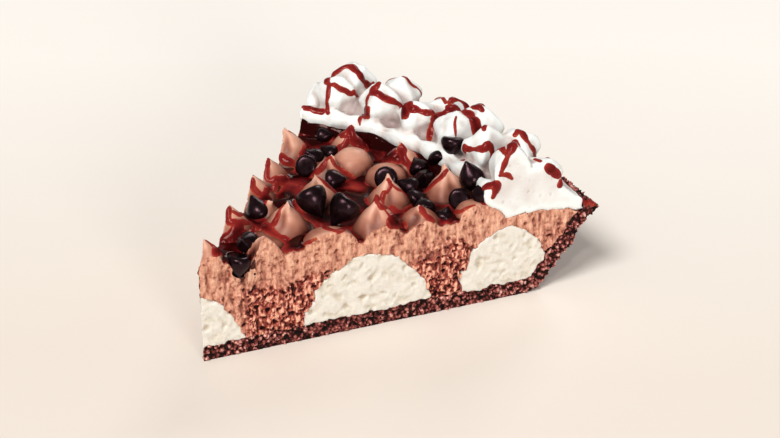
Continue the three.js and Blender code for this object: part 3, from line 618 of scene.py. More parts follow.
def crust_mesh():
    outer = [crust_point(i / CRUST_STATIONS, 0.0) for i in range(CRUST_STATIONS + 1)]
    inner = [crust_point(i / CRUST_STATIONS, CRUST_THICKNESS - 0.05) for i in range(CRUST_STATIONS, -1, -1)]
    bm = fused([fanned(outer + inner)], FINE, rounds=1)
    wander(bm, 1.0, RIM_HEIGHT)
    relief_painted_shading = bm.verts.layers.float.new("relief_painted_shading")
    bm.normal_update()
    moves = []
    for v in bm.verts:
        radius = math.hypot(v.co.x, v.co.y)
        height = 0.55 * crumbs(v.co, COARSE_CRUMB, 3.0) + 0.45 * crumbs(v.co, FINE_CRUMB, 11.0)
        # Kept for the crust's colour: painted highlight on the high crumbs, painted shade between them
        v[relief_painted_shading] = height
        under = v.co.z < 0.3 and v.normal.z < -0.7
        covered = v.normal.z > 0.3 and radius < inside_radius(v.co.z) + 0.4 and v.co.z < RIM_HEIGHT - 1.0
        if under or covered:
            continue
        way = v.normal.copy()
        if v.co.z < 0.8:
            way.z = max(0.0, way.z)
        moves.append((v, way * (CRUMB_DEPTH * height - 0.7 + 0.3 * noise.noise(v.co * 0.3))))
    for v, move in moves:
        v.co += move
        v.co.z = max(0.0, v.co.z)

    def hidden(p):
        inside, _ = off_cut(p)
        floor = p.z < 0.2 and inside > 1.5
        wall = inside_radius(max(p.z, CRUST_THICKNESS)) + 0.6
        seat = inside > 1.5 and p.z < 20 and math.hypot(p.x, p.y) < wall
        return floor or (seat and p.z > CRUST_THICKNESS - 0.8)

    return thinned(bm, hidden, 0.3)


def notched(bm):
    """Presses the filling down where the notch is, from what stands over it to the notch's own slope."""
    middle = lay(NOTCH["radius"], NOTCH["degrees"])
    (foot_half, foot), (top_half, top) = NOTCH["foot"], NOTCH["top"]
    tree = BVHTree.FromBMesh(bm)
    base = foot - NOTCH_MARGIN
    moves = []
    for v in bm.verts:
        away = (v.co.xy - middle.xy).length + 0.5 * noise.noise(v.co * 0.7)
        level = foot + (top - foot) * max(0.0, away - foot_half) / (top_half - foot_half)
        if away > top_half + NOTCH_MARGIN or v.co.z < base:
            continue
        stands = top_of(tree, v.co)
        if stands is not None and stands > level:
            moves.append((v, base + (v.co.z - base) * (level - base) / (stands - base)))
    for v, height in moves:
        v.co.z = height
    return bm


def filling_mesh():
    bed = [(BED_RADIUS * i / 12, bed_height(BED_RADIUS * i / 12, 0)) for i in range(13)]
    shelf = [(r, z - 0.05) for r, z in BANK_SEAT[:-2]]
    wall = [(inside_radius(z) + LAP, z) for z in (21.7, 17.5, 13.6)]
    outer = [p for p in mound_outline("vanilla_ring_outer", 0.0) if p[0] < inside_radius(p[1]) - 0.3]
    inner = mound_outline("vanilla_ring_inner", 0.0)
    centre = mound_outline("vanilla_centre", 0.0)
    body = fanned([*bed, *shelf, *wall, *outer, *inner, *centre])
    parts = [body]
    parts += [kiss_shape(i, *kiss) for i, kiss in enumerate(kisses())]
    parts += [dollop_shape(*dollop) for dollop in DOLLOPS]
    bm = notched(pointed(fused(parts, FINE, rounds=2)))
    for v in bm.verts:
        inside, _ = off_cut(v.co)
        if v.co.z > 24.0 and inside > 0.8:
            v.co += v.normal * 0.1 * noise.noise(v.co * 0.45)
    wander(bm)
    tear_cuts(bm, torn_height, 0.9)
    mark_hollow_shade(bm, 24, 0.8)

    def hidden(p):
        inside, _ = off_cut(p)
        return inside > 2.0 and (p.z < 22.6 or math.hypot(p.x, p.y) > 78)

    return thinned(bm, hidden, 0.35)


def vanilla_height(point):
    soft = 0.7 * noise.noise(point * 0.3)
    curd = 0.5 - 1.6 * abs(noise.noise(point * 0.42)) + 0.35 * noise.noise(point * 1.1)
    pit = -max(0.0, noise.noise(point * 0.5 + Vector((3, 17, 5))) - 0.3) * 3.0
    return soft + 0.7 * curd + pit


def vanilla_mesh(name):
    outline = [(min(r, inside_radius(z) + LAP), z) for r, z in mound_outline(name, LAP)]
    if MOUNDS[name][0] == 0:
        outline.append((0.0, CRUST_THICKNESS - LAP))
    bm = fused([fanned(outline)], FINE, rounds=2)
    wander(bm)
    tear_cuts(bm, vanilla_height, 0.5, reach=0.35)

    def hidden(p):
        return off_cut(p)[0] > 2.0

    return thinned(bm, hidden, 0.35)


def lobe_half(up):
    """Half width of a lobe by its height: a waist over the rolled foot, a full upper fold, a soft top."""
    fullness = LOBE_WAIST + (1 - LOBE_WAIST) * ease(up, 0.3, 0.62)
    return fullness * (1 - up ** LOBE_POWER)


def lobe_shape(index, radius, half, degrees, peak):
    height = peak + LOBE_EASING - LOBE_ROOT
    profile = [(0, 0), (half * 0.7, 0)]
    for i in range(1, LOBE_LEVELS + 1):
        up = 0.1 + 0.9 * i / LOBE_LEVELS
        profile.append((half * lobe_half(up), height * up))
    profile[-1] = (0, height)
    bm = turned(profile, LOBE_SIDES)
    for v in bm.verts:
        turn = math.atan2(v.co.y, v.co.x) - math.radians(degrees)
        turn = turn + 1.4 * scatter(index + 20) - 0.5 * v.co.z / height
        hollow = abs(math.cos(LOBE_RIDGES / 2 * turn)) * ease(v.co.z / height, 0.05, 0.3)
        v.co.x *= 1.06 - LOBE_HOLLOW * hollow
        v.co.y *= 1.06 - LOBE_HOLLOW * hollow
    bent(bm, height, 0.8, math.tau * scatter(index + 90))
    bmesh.ops.translate(bm, verts=bm.verts, vec=lay(radius, degrees, LOBE_ROOT))
    return trim(bm)


def topping_mesh():
    lobes = [(radius, half, *lobe) for radius, half, ring in LOBE_RINGS for lobe in ring]
    parts = [fanned([*((r, z - LAP) for r, z in BANK_SEAT), *BANK_BACK, *BANK_FOOT])]
    parts += [lobe_shape(i, *lobe) for i, lobe in enumerate(lobes)]
    bm = shallower(fused(parts, CREAM_FINE, rounds=3), HOLLOW_ROUNDS, 0.9)
    for v in bm.verts:
        inside, _ = off_cut(v.co)
        if inside > 0.8:
            fold = 1 - 2.2 * abs(noise.noise(v.co * 0.13 + Vector((4, 4, 4))))
            low = 1 - ease(v.co.z, 32.0, 35.0)
            turn = math.degrees(math.atan2(v.co.y, v.co.x))
            roll = 0.9 * noise.noise(Vector((v.co.x * 0.11, v.co.y * 0.16, 7.0)))
            roll = low * (roll - 0.6 * max(math.exp(-((turn - gap) / 1.3) ** 2) for gap in LOBE_GAPS))
            swell = 0.5 * fold + 0.5 * noise.noise(v.co * 0.2) + 0.12 * noise.noise(v.co * 0.6) - 0.3 + roll
            v.co += v.normal * swell
    wander(bm)

    def pored(point):
        pore = noise.noise(point * 1.1)
        return 0.35 * noise.noise(point * 0.22) - max(0.0, pore - 0.42) * 2.0

    tear_cuts(bm, pored, 0.4, reach=0.6)
    return mark_hollow_shade(bm, 60, 1.3)


def stands_over(bm, rounds):
    """How far each point stands over the surface smoothed around it; negative in a hollow."""
    bm.normal_update()
    soft = bm.copy()
    soften(soft, soft.verts, rounds)
    heights = [(v.co - low.co).dot(v.normal) for v, low in zip(bm.verts, soft.verts)]
    soft.free()
    return heights


def shallower(bm, rounds, share):
    """Fills the hollows by a share of their depth and leaves the ridges as they stand."""
    for v, height in zip(bm.verts, stands_over(bm, rounds)):
        if height < 0 and off_cut(v.co)[0] > 0.6:
            v.co -= v.normal * height * share
    return bm


def mark_hollow_shade(bm, rounds, reach):
    """Keeps as an attribute how high each point stands over the surface around it, 0 in a hollow and 1 on a
    ridge, for painted shade in the hollows.
    """
    painted_hollow_shade = bm.verts.layers.float.new("painted_hollow_shade")
    for v, height in zip(bm.verts, stands_over(bm, rounds)):
        v[painted_hollow_shade] = clamp(0.5 + height / reach)
    return bm


def chip_shape(seat, ground):
    radius, degrees, half, height, tilt, turn, lift = seat
    outline = [(0, 0), (0.6, 0), (0.82, 0.02), (0.95, 0.09), (1.0, 0.2), (0.97, 0.34), (0.86, 0.48),
               (0.66, 0.62), (0.44, 0.75), (0.27, 0.86), (0.14, 0.95), (0, 1.0)]
    bm = turned([(half * across, height * up) for across, up in outline], 26)
    for v in bm.verts:
        v.co += v.normal * 0.12 * noise.noise(v.co * 0.5 + Vector((radius, degrees, 0)))
    bmesh.ops.translate(bm, verts=bm.verts, vec=(0, 0, -height * 0.4))
    spun = Matrix.Rotation(math.radians(turn), 4, "Z") @ Matrix.Rotation(math.radians(tilt), 4, "Y")
    bm.transform(Matrix.Translation(lay(radius, degrees, ground + height / 4 + lift)) @ spun)
    bm.normal_update()
    return bm


# Sauce

def smooth_path(points, spacing):
    """Points about spacing apart on a curve through the given ones."""
    ends = [points[0] * 2 - points[1], *points, points[-1] * 2 - points[-2]]
    path = []
    for a, b, c, d in zip(ends, ends[1:], ends[2:], ends[3:]):
        count = max(2, round((c - b).length / spacing))
        for i in range(count):
            t = i / count
            path.append(0.5 * (2 * b + (c - a) * t + (2 * a - 5 * b + 4 * c - d) * t * t
                               + (3 * b - a - 3 * c + d) * t ** 3))
    path.append(points[-1])
    return path


def top_of(tree, point):
    hit = tree.ray_cast(Vector((point.x, point.y, 80)), Vector((0, 0, -1)))[0]
    return hit.z if hit else None


def seat_on(tree, stop):
    """A ribbon's stop on the surface: dropped from above, or the nearest point where a height is given."""
    if len(stop) == 3:
        return tree.find_nearest(lay(*stop))[0]
    point = lay(*stop)
    height = top_of(tree, point)
    return None if height is None else Vector((point.x, point.y, height))


def ribbon_path(tree, half, stops, seed):
    """Points of a sauce ribbon on the surface, each with the ribbon's half width there."""
    if len(stops[0]) == 3 or len(stops[-1]) == 3:
        seats = [seat_on(tree, stop) for stop in stops]
        path = [tree.find_nearest(p)[0] for p in smooth_path(seats, RIBBON_STEP)]
    else:
        plan = smooth_path([lay(*stop) for stop in stops], RIBBON_STEP)
        path = [seat_on(tree, (p.length, math.degrees(math.atan2(p.y, p.x)))) for p in plan]
        path = spread([p for p in path if p is not None], RIBBON_STEP)
    steps = []
    for i, p in enumerate(path):
        end = min(i, len(path) - 1 - i)
        slow = noise.noise(Vector((i * 0.11, seed * 3.7, 0)))
        quick = noise.noise(Vector((i * 0.3, seed * 5.1, 4)))
        uneven = 1 + 0.5 * slow + 0.3 * quick
        steps.append((p, half * SAUCE_SPREAD * uneven * (0.7 + 0.3 * min(1, end / 3))))
    return steps


def spread(path, spacing):
    """Puts more points where the way runs steeply up or down."""
    out = [path[0]]
    for a, b in zip(path, path[1:]):
        count = max(1, round((b - a).length / spacing))
        out += [a.lerp(b, (i + 1) / count) for i in range(count)]
    return out


def pool_level(point):
    """Height of the sauce's level skin, which climbs at each kiss and stands higher at the topping's foot."""
    radius = math.hypot(point.x, point.y)
    level = bed_height(radius, 0) + POOL_DEPTH + POOL_UNEVEN * noise.noise(point * 0.16)
    climb = 0.0
    for ring, turn, _, half in kisses():
        away = (point - lay(ring, turn)).length - half * 0.9
        climb = max(climb, math.exp(-max(0.0, away)))
    return level + POOL_CLIMB * climb + FOOT_POOL_DEPTH * ease(radius, FOOT_POOL_FROM, FOOT_POOL_TO)


def sauce_mesh(base, tree, ribbons, seed, pooled=False):
    """Sauce as the skin of what it lies on, raised by its thickness and closed by an underside in the food."""
    steps = []
    for i, (half, stops) in enumerate(ribbons):
        steps += ribbon_path(tree, half, stops, seed + i)
    places = KDTree(len(steps))
    for i, (point, _) in enumerate(steps):
        places.insert(point, i)
    places.balance()
    widest = 1.3 * max(wide for _, wide in steps)

    def depth(v):
        """How far the skin is raised here; negative where no sauce lies."""
        deep = -1.0
        for _, i, away in places.find_range(v.co, widest):
            share = away / steps[i][1]
            full = SAUCE_DEPTH * steps[i][1]
            deep = max(deep, full * (1 - share * share) ** 0.7 if share < 1 else full * (1 - share) * 1.6)
        return deep

    def flood(v):
        """How far the sauce stands over the skin where it lies level between the kisses."""
        if not pooled or not POOL_LOW < v.co.z < POOL_HIGH or v.normal.z < 0.0:
            return -1.0
        if off_cut(v.co)[0] < POOL_OFF_CUT or v.co.xy.length > POOL_REACH:
            return -1.0
        return pool_level(v.co) - v.co.z

    def strip_bare(margin):
        """Measures the sauce over every point and cuts away the skin that it leaves bare beyond a margin."""
        bm.normal_update()
        for v in bm.verts:
            v[way] = v.normal
            v[raised] = depth(v) if v.co.z > SAUCE_FOOT else -1.0
            v[flooded] = flood(v)
        bare = [f for f in bm.faces if all(max(v[raised], v[flooded]) < margin for v in f.verts)]
        bmesh.ops.delete(bm, geom=bare, context="FACES")

    bm = base.copy()
    raised = bm.verts.layers.float.new("raised")
    flooded = bm.verts.layers.float.new("flooded")
    thick = bm.verts.layers.float.new("thick")
    way = bm.verts.layers.float_vector.new("way")
    strip_bare(COARSE_MARGIN)
    bmesh.ops.subdivide_edges(bm, edges=bm.edges[:], cuts=1, use_grid_fill=True)
    strip_bare(FINE_MARGIN)
    made = bmesh.ops.extrude_face_region(bm, geom=bm.faces[:])
    upper = {g for g in made["geom"] if isinstance(g, bmesh.types.BMVert)}
    for v in bm.verts:
        ribbon, level = max(v[raised], -SAUCE_SUNK), max(v[flooded], -SAUCE_SUNK)
        if v in upper:
            v[thick] = clamp((max(ribbon, level) + 0.05) / 0.9)
            height = v.co.z + level
            v.co += v[way] * ribbon
            if level > 0:
                v.co.z = max(v.co.z, height)
        else:
            v.co -= v[way] * SAUCE_SUNK * 1.3
    bmesh.ops.recalc_face_normals(bm, faces=bm.faces)
    soften(bm, list(upper))
    bm.verts.index_update()
    under = [(v.index, 1.0) for v in bm.verts if v not in upper]
    bm = with_modifier(bm, "DECIMATE", groups={"under": under}, decimate_type="COLLAPSE",
                       ratio=UNDERSIDE_SHARE, vertex_group="under", vertex_group_factor=1.0)
    triangles = sum(len(f.verts) - 2 for f in bm.faces)
    if triangles <= SAUCE_TRIANGLES:
        return bm
    return with_modifier(bm, "DECIMATE", decimate_type="COLLAPSE", ratio=SAUCE_TRIANGLES / triangles)


# Materials

def material(name):
    made = bpy.data.materials.new(name)
    made.use_nodes = True
    made.node_tree.nodes.clear()
    return made


def add(tree, kind, **values):
    made = tree.nodes.new(kind)
    for key, value in values.items():
        if key.startswith("in_"):
            made.inputs[key[3:].replace("_", " ")].default_value = value
        else:
            setattr(made, key, value)
    return made


def shader(tree, **values):
    """The material's own Principled shader, joined to its output."""
    out = add(tree, "ShaderNodeOutputMaterial")
    body = add(tree, "ShaderNodeBsdfPrincipled")
    for key, value in values.items():
        body.inputs[key.replace("_", " ")].default_value = value
    tree.links.new(body.outputs[0], out.inputs[0])
    return body


def drive(tree, body, **sources):
    """Joins each source to the shader's socket of that name."""
    for name, source in sources.items():
        tree.links.new(source, body.inputs[name.replace("_", " ")])


def ramp(tree, source, stops):
    """Colours, or greys given as one number, along a source."""
    made = add(tree, "ShaderNodeValToRGB")
    elements = made.color_ramp.elements
    while len(elements) < len(stops):
        elements.new(0.5)
    for element, (place, colour) in zip(elements, stops):
        element.position = place
        element.color = (*colour, 1) if isinstance(colour, tuple) else (colour, colour, colour, 1)
    tree.links.new(source, made.inputs[0])
    return made.outputs[0]


def mix(tree, factor, a, b, blend="MIX"):
    made = add(tree, "ShaderNodeMix", data_type="RGBA", blend_type=blend)
    for socket, value in ((made.inputs[0], factor), (made.inputs[6], a), (made.inputs[7], b)):
        if isinstance(value, float):
            socket.default_value = value
        else:
            tree.links.new(value, socket)
    return made.outputs[2]


def math_node(tree, operation, a, b=0.0, c=0.0, limit=False):
    made = add(tree, "ShaderNodeMath", operation=operation, use_clamp=limit)
    for socket, value in zip(made.inputs, (a, b, c)):
        if isinstance(value, (int, float)):
            socket.default_value = value
        else:
            tree.links.new(value, socket)
    return made.outputs[0]


def swing(tree, source, amount, middle=0.5):
    """How far a source is from its middle, times amount."""
    return math_node(tree, "MULTIPLY", math_node(tree, "SUBTRACT", source, middle), amount)


def attribute(tree, name):
    return add(tree, "ShaderNodeAttribute", attribute_name=name).outputs["Fac"]


def bump(tree, height, distance_mm, strength=1.0, under=None):
    made = add(tree, "ShaderNodeBump", in_Distance=distance_mm * MM, in_Strength=strength)
    tree.links.new(height, made.inputs["Height"])
    if under is not None:
        tree.links.new(under, made.inputs["Normal"])
    return made.outputs[0]


def grain_group():
    """Noise on object coordinates, which every food uses with its own size, shift and stretch."""
    group = bpy.data.node_groups.new("food_grain", "ShaderNodeTree")
    for name in ("Size", "Detail", "Roughness"):
        group.interface.new_socket(name=name, in_out="INPUT", socket_type="NodeSocketFloat")
    for name in ("Shift", "Stretch"):
        group.interface.new_socket(name=name, in_out="INPUT", socket_type="NodeSocketVector")
    group.interface.new_socket(name="Grain", in_out="OUTPUT", socket_type="NodeSocketFloat")
    given, result = add(group, "NodeGroupInput").outputs, add(group, "NodeGroupOutput")
    place, moved = add(group, "ShaderNodeTexCoord"), add(group, "ShaderNodeMapping")
    speckle = add(group, "ShaderNodeTexNoise")
    drive(group, moved, Vector=place.outputs["Object"], Location=given["Shift"], Scale=given["Stretch"])
    drive(group, speckle, Vector=moved.outputs[0], Scale=math_node(group, "DIVIDE", 1.0, given["Size"]),
          Detail=given["Detail"], Roughness=given["Roughness"])
    drive(group, result, Grain=speckle.outputs["Fac"])
    return group


FOOD_GRAIN = grain_group()


def grain(tree, size_mm, detail=3.0, roughness=0.55, offset=0.0, tall=1.0):
    """Food grain whose features are about size_mm, and tall times as high."""
    made = add(tree, "ShaderNodeGroup", node_tree=FOOD_GRAIN, in_Size=size_mm * MM, in_Detail=detail,
               in_Roughness=roughness, in_Stretch=(1.0, 1.0, 1.0 / tall))
    made.inputs["Shift"].default_value = (offset, offset * 0.7, offset * 1.3)
    return made.outputs["Grain"]


def mousse_material():
    """Smooth, with painted shade towards the foot of the kisses and in the hollows; on the cuts dragged pale
    above and shredded below, with painted shade in the pits.
    """
    made = material("chocolate_mousse")
    tree = made.node_tree
    body = shader(tree, IOR=1.45, Specular_IOR_Level=0.3, Specular_Tint=(1.0, 0.82, 0.74, 1.0),
                  Subsurface_Weight=0.1, Subsurface_Scale=0.001, Subsurface_Radius=(1.0, 0.4, 0.3))
    torn, relief_painted_shading = attribute(tree, "torn"), attribute(tree, "relief_painted_shading")
    on_cut = math_node(tree, "MULTIPLY", torn, 2.0, limit=True)
    coarse = math_node(tree, "SUBTRACT", math_node(tree, "MULTIPLY", torn, 2.0), 1.0, limit=True)
    place, along = add(tree, "ShaderNodeTexCoord"), add(tree, "ShaderNodeSeparateXYZ")
    tree.links.new(place.outputs["Object"], along.inputs[0])
    # Painted shade by height: darker towards the foot of the kisses and paler towards their tips
    over = math_node(tree, "SUBTRACT", along.outputs[2], KISS_SHADE_FROM)
    height = math_node(tree, "DIVIDE", over, KISS_SHADE_RISE)
    # Painted shade in the hollows, from how far each point stands over the surface around it
    hollows = swing(tree, attribute(tree, "painted_hollow_shade"), 1.3, 0.55)
    uneven = math_node(tree, "ADD", swing(tree, grain(tree, 7.0, 2.0), 0.5), hollows)
    shade_and_tone = math_node(tree, "ADD", height, uneven)
    smooth = ramp(tree, math_node(tree, "ADD", shade_and_tone, 0.0, limit=True),
                  [(0.0, (0.05, 0.008, 0.006)), (0.3, (0.22, 0.07, 0.045)), (0.62, (0.44, 0.19, 0.127)),
                   (1.0, (0.67, 0.37, 0.27))])
    speck = swing(tree, grain(tree, 0.9, 4.0, 0.65), 0.7)
    streak = math_node(tree, "SUBTRACT", grain(tree, 0.75, 3.0, 0.6, 0.03, 3.5), 0.5)
    drag = math_node(tree, "MULTIPLY", streak, math_node(tree, "ADD", coarse, 0.95))
    # The cut's relief paints shade into its pits and a highlight onto its ridges; speck and streak are the
    # chocolate's own grain
    level = math_node(tree, "ADD", math_node(tree, "ADD", relief_painted_shading, speck), drag)
    dragged = ramp(tree, level, [(0.16, (0.10, 0.02, 0.014)), (0.38, (0.33, 0.115, 0.075)),
                                 (0.56, (0.57, 0.26, 0.172)), (0.86, (0.80, 0.45, 0.31))])
    shredded = ramp(tree, level, [(0.23, (0.02, 0.002, 0.002)), (0.48, (0.18, 0.024, 0.017)),
                                  (0.70, (0.42, 0.10, 0.066)), (0.98, (0.90, 0.46, 0.32))])
    cut = mix(tree, coarse, dragged, shredded)
    rough = math_node(tree, "ADD", grain(tree, 0.55, 4.0, 0.6), drag)
    depth = math_node(tree, "MULTIPLY", rough, math_node(tree, "MULTIPLY_ADD", on_cut, 0.9, 0.06))
    gloss = ramp(tree, on_cut, [(0.0, 0.38), (1.0, 0.62)])
    drive(tree, body, Base_Color=mix(tree, on_cut, smooth, cut), Roughness=gloss,
          Normal=bump(tree, depth, 0.35, 0.8))
    return made


def vanilla_material():
    made = material("vanilla_cream")
    tree = made.node_tree
    body = shader(tree, Roughness=0.62, IOR=1.4, Subsurface_Weight=0.25, Subsurface_Scale=0.0018,
                  Subsurface_Radius=(1.0, 0.8, 0.55))
    # Painted shade in the pits of the cut, from its relief; the grain gives the cream its own smudged tone
    relief_painted_shading = math_node(tree, "MULTIPLY", attribute(tree, "relief_painted_shading"), 0.5)
    level = math_node(tree, "MULTIPLY_ADD", grain(tree, 2.4, 4.0, 0.6), 0.5, relief_painted_shading)
    colour = ramp(tree, level, [(0.2, (0.47, 0.37, 0.27)), (0.42, (0.63, 0.575, 0.48)),
                                (0.6, (0.71, 0.67, 0.60))])
    drive(tree, body, Base_Color=colour, Normal=bump(tree, grain(tree, 0.8, 4.0, 0.6), 0.25, 0.6))
    return made


def topping_material():
    """White on the ridges and the cut, darkened by painted shade to pinkish grey in the hollows."""
    made = material("whipped_cream")
    tree = made.node_tree
    body = shader(tree, Roughness=0.42, IOR=1.4, Subsurface_Weight=0.3, Subsurface_Scale=0.0025,
                  Subsurface_Radius=(1.0, 0.85, 0.75))
    torn = attribute(tree, "torn")
    # Painted shade: the hollows go pinkish grey, and the cut is kept white
    uneven = math_node(tree, "ADD", attribute(tree, "painted_hollow_shade"), swing(tree, grain(tree, 5.0, 3.0), 0.35))
    level = math_node(tree, "MULTIPLY_ADD", torn, 0.08, uneven)
    colour = ramp(tree, level, [(0.05, (0.33, 0.245, 0.23)), (0.3, (0.52, 0.435, 0.41)),
                                (0.5, (0.69, 0.65, 0.62)), (0.68, (0.80, 0.82, 0.80))])
    pores = math_node(tree, "MULTIPLY", grain(tree, 0.7, 3.0, 0.6), torn)
    drive(tree, body, Base_Color=colour, Normal=bump(tree, pores, 0.2, 0.5))
    return made


def sauce_material():
    """Thin sauce is a clear red-brown and thicker sauce darker; the near-black of the deepest pools, between the
    kisses and at the topping's foot, is painted shade.
    """
    made = material("fudge_sauce")
    tree = made.node_tree
    body = shader(tree, Roughness=0.1, IOR=1.45, Specular_IOR_Level=0.15, Specular_Tint=(1.0, 0.6, 0.55, 1.0),
                  Subsurface_Weight=0.04, Subsurface_Scale=0.001, Subsurface_Radius=(1.0, 0.25, 0.1))
    thick = math_node(tree, "ADD", attribute(tree, "thick"), swing(tree, grain(tree, 3.0), 0.65))
    # Painted shade: the thickest sauce, in the deep pools, goes nearly black
    colour = ramp(tree, thick, [(0.0, (0.40, 0.075, 0.03)), (0.13, (0.28, 0.03, 0.02)),
                                (0.36, (0.20, 0.014, 0.013)), (0.62, (0.09, 0.005, 0.005)),
                                (0.92, (0.016, 0.001, 0.001))])
    drive(tree, body, Base_Color=colour, Normal=bump(tree, grain(tree, 3.5, 1.0), 0.15, 0.3))
    return made


def chip_material():
    made = material("dark_chip")
    tree = made.node_tree
    body = shader(tree, IOR=1.45, Specular_IOR_Level=0.3, Specular_Tint=(1.0, 0.55, 0.66, 1.0))
    colour = ramp(tree, grain(tree, 2.5, 3.0), [(0.35, (0.002, 0.0006, 0.001)), (0.7, (0.008, 0.003, 0.004))])
    gloss = ramp(tree, grain(tree, 1.2, 3.0, offset=0.02), [(0.3, 0.18), (0.75, 0.36)])
    drive(tree, body, Base_Color=colour, Roughness=gloss, Normal=bump(tree, grain(tree, 1.6, 2.0), 0.1, 0.4))
    return made


def crust_material():
    """Crumbs of many browns, with painted highlight pale on the crumbs that stand highest and painted shade
    black between them.
    """
    made = material("cookie_crust")
    tree = made.node_tree
    body = shader(tree, IOR=1.45, Specular_IOR_Level=0.22, Specular_Tint=(1.0, 0.75, 0.7, 1.0))
    place = add(tree, "ShaderNodeTexCoord")
    cells = add(tree, "ShaderNodeTexVoronoi", in_Scale=1 / (0.8 * MM))
    split = add(tree, "ShaderNodeSeparateColor")
    tree.links.new(place.outputs["Object"], cells.inputs["Vector"])
    tree.links.new(cells.outputs["Color"], split.inputs[0])
    # Painted shade: black between the crumbs, near the edges of their cells
    painted_gap_shade = swing(tree, cells.outputs["Distance"], -0.5, 0.42)
    # Painted highlight: the higher a crumb stands, the paler it is
    stand = math_node(tree, "MULTIPLY_ADD", attribute(tree, "relief_painted_shading"), 0.8, painted_gap_shade)
    # Each cell's own colour gives the crumbs their many browns
    level = math_node(tree, "MULTIPLY_ADD", split.outputs[0], 0.5, stand)
    colour = ramp(tree, level, [(0.26, (0.002, 0.0005, 0.0005)), (0.4, (0.045, 0.007, 0.006)),
                                (0.54, (0.21, 0.042, 0.036)), (0.72, (0.48, 0.15, 0.125)),
                                (0.94, (0.90, 0.50, 0.42))])
    fleck = ramp(tree, grain(tree, 0.5, 4.0, 0.7), [(0.35, 0.45), (0.7, 1.25)])
    gloss = ramp(tree, grain(tree, 0.8, 3.0, offset=0.01), [(0.35, 0.42), (0.65, 0.85)])
    pebble = bump(tree, cells.outputs["Distance"], -0.35, 0.7)
    drive(tree, body, Base_Color=mix(tree, 1.0, colour, fleck, "MULTIPLY"), Roughness=gloss,
          Normal=bump(tree, grain(tree, 0.4, 3.0, 0.7), 0.2, 0.8, pebble))
    return made


def floor_material():
    made = material("pale_floor")
    tree = made.node_tree
    body = shader(tree, Roughness=0.7)
    place = add(tree, "ShaderNodeTexCoord")
    along = add(tree, "ShaderNodeVectorMath", operation="DOT_PRODUCT")
    along.inputs[1].default_value = (0.737, 0.676, 0.0)
    tree.links.new(place.outputs["Object"], along.inputs[0])
    # Painted light: the floor is paler away from the camera and darker towards it
    level = math_node(tree, "MULTIPLY_ADD", grain(tree, 300.0, 2.0), 0.1, along.outputs["Value"])
    drive(tree, body, Base_Color=ramp(tree, level, [(0.02, (0.75, 0.68, 0.61)), (0.18, (0.86, 0.83, 0.79))]))
    return made


# Build

mousse, vanilla, whipped = mousse_material(), vanilla_material(), topping_material()
sauce, chocolate, cookie = sauce_material(), chip_material(), crust_material()

crust = crust_mesh()
crust_tree = BVHTree.FromBMesh(crust)
for mound in MOUNDS:
    finished(vanilla_mesh(mound), mound + "_dressed", vanilla, [mound])

filling = filling_mesh()
filling_tree = BVHTree.FromBMesh(filling)
topping = topping_mesh()
topping_tree = BVHTree.FromBMesh(topping)

finished(sauce_mesh(filling, filling_tree, FILLING_RIBBONS, 1, pooled=True), "sauce_over_kisses", sauce)
finished(sauce_mesh(topping, topping_tree, TOPPING_RIBBONS, 50), "sauce_over_topping", sauce)
finished(sauce_mesh(crust, crust_tree, RIM_RIBBONS, 90), "sauce_on_rim", sauce)
finished(crust, "crust_dressed", cookie, ["crust"])
finished(filling, "chocolate_filling_dressed", mousse, ["chocolate_filling"])
finished(topping, "whipped_topping_dressed", whipped, ["whipped_topping"])

for number, seat in enumerate(CHIP_SEATS + FOOT_CHIP_SEATS, start=1):
    on_foot = number > len(CHIP_SEATS)
    ground = FOOT_CHIP_HEIGHT if on_foot else bed_height(seat[0], seat[1])
    node = f"chip_{number:02d}"
    finished(chip_shape(seat, ground), node + "_dressed", chocolate, [node])


# Stage

def make_floor():
    bm = bmesh.new()
    bmesh.ops.create_grid(bm, x_segments=1, y_segments=1, size=3.0)
    mesh = bpy.data.meshes.new("floor")
    bm.to_mesh(mesh)
    bm.free()
    floor = bpy.data.objects.new("floor", mesh)
    bpy.context.scene.collection.objects.link(floor)
    mesh.materials.append(floor_material())


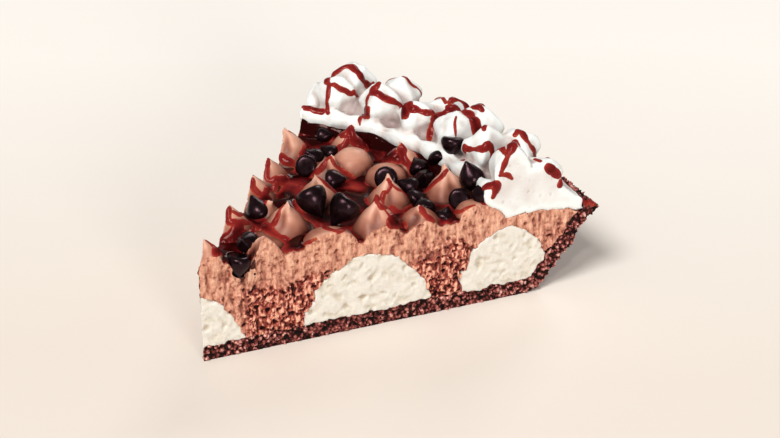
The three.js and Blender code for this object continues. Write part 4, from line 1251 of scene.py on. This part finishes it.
# The camera's aim, turn, rise and distance, and its focal length in pixels of a picture so wide
AIM = TIP + Vector((62.23, -3.94, 15.0)) * MM
CAMERA_TURN, CAMERA_RISE, CAMERA_AWAY = math.radians(-47.46), math.radians(29.73), 0.5
FOCAL_PIXELS, PICTURE_WIDTH, SENSOR_WIDTH = 1946.51, 780, 36.0

# Lights: place from the aim in metres, width, watts, colour
LIGHTS = {
    "window": ((-2.3, -0.3, 3.3), 1.6, 144.0, (0.985, 0.97, 0.94)),
    "front_fill": ((-1.35, -3.0, 0.9), 1.0, 49.0, (0.985, 0.97, 0.95)),
    "right_edge": ((2.5, 0.9, 1.7), 1.2, 22.0, (1.0, 0.96, 0.94)),
    "glint": ((-1.5, -1.3, 2.5), 0.2, 12.0, (1.0, 0.97, 0.94)),
}
WORLD_COLOUR, WORLD_STRENGTH = (1.0, 0.97, 0.94, 1), 0.2


def make_camera():
    level = math.cos(CAMERA_RISE)
    back = Vector((math.sin(CAMERA_TURN) * level, -math.cos(CAMERA_TURN) * level, math.sin(CAMERA_RISE)))
    data = bpy.data.cameras.new("camera")
    data.sensor_width = SENSOR_WIDTH
    data.lens = SENSOR_WIDTH * FOCAL_PIXELS / PICTURE_WIDTH
    data.clip_start, data.clip_end = 0.05, 20
    camera = bpy.data.objects.new("camera", data)
    bpy.context.scene.collection.objects.link(camera)
    camera.location = AIM + back * CAMERA_AWAY
    camera.rotation_euler = (-back).to_track_quat("-Z", "Y").to_euler()
    bpy.context.scene.camera = camera


def make_light(name, away, size, power, colour):
    data = bpy.data.lights.new(name, "AREA")
    data.shape = "DISK"
    data.size = size
    data.energy = power
    data.color = colour
    light = bpy.data.objects.new(name, data)
    bpy.context.scene.collection.objects.link(light)
    light.location = AIM + Vector(away)
    light.rotation_euler = (-Vector(away)).to_track_quat("-Z", "Y").to_euler()


def make_world():
    world = bpy.data.worlds.new("studio")
    world.use_nodes = True
    back = world.node_tree.nodes["Background"]
    back.inputs[0].default_value = WORLD_COLOUR
    back.inputs[1].default_value = WORLD_STRENGTH
    bpy.context.scene.world = world


make_floor()
make_camera()
for light_name, light_values in LIGHTS.items():
    make_light(light_name, *light_values)
make_world()
bpy.context.scene.view_settings.view_transform = "Standard"
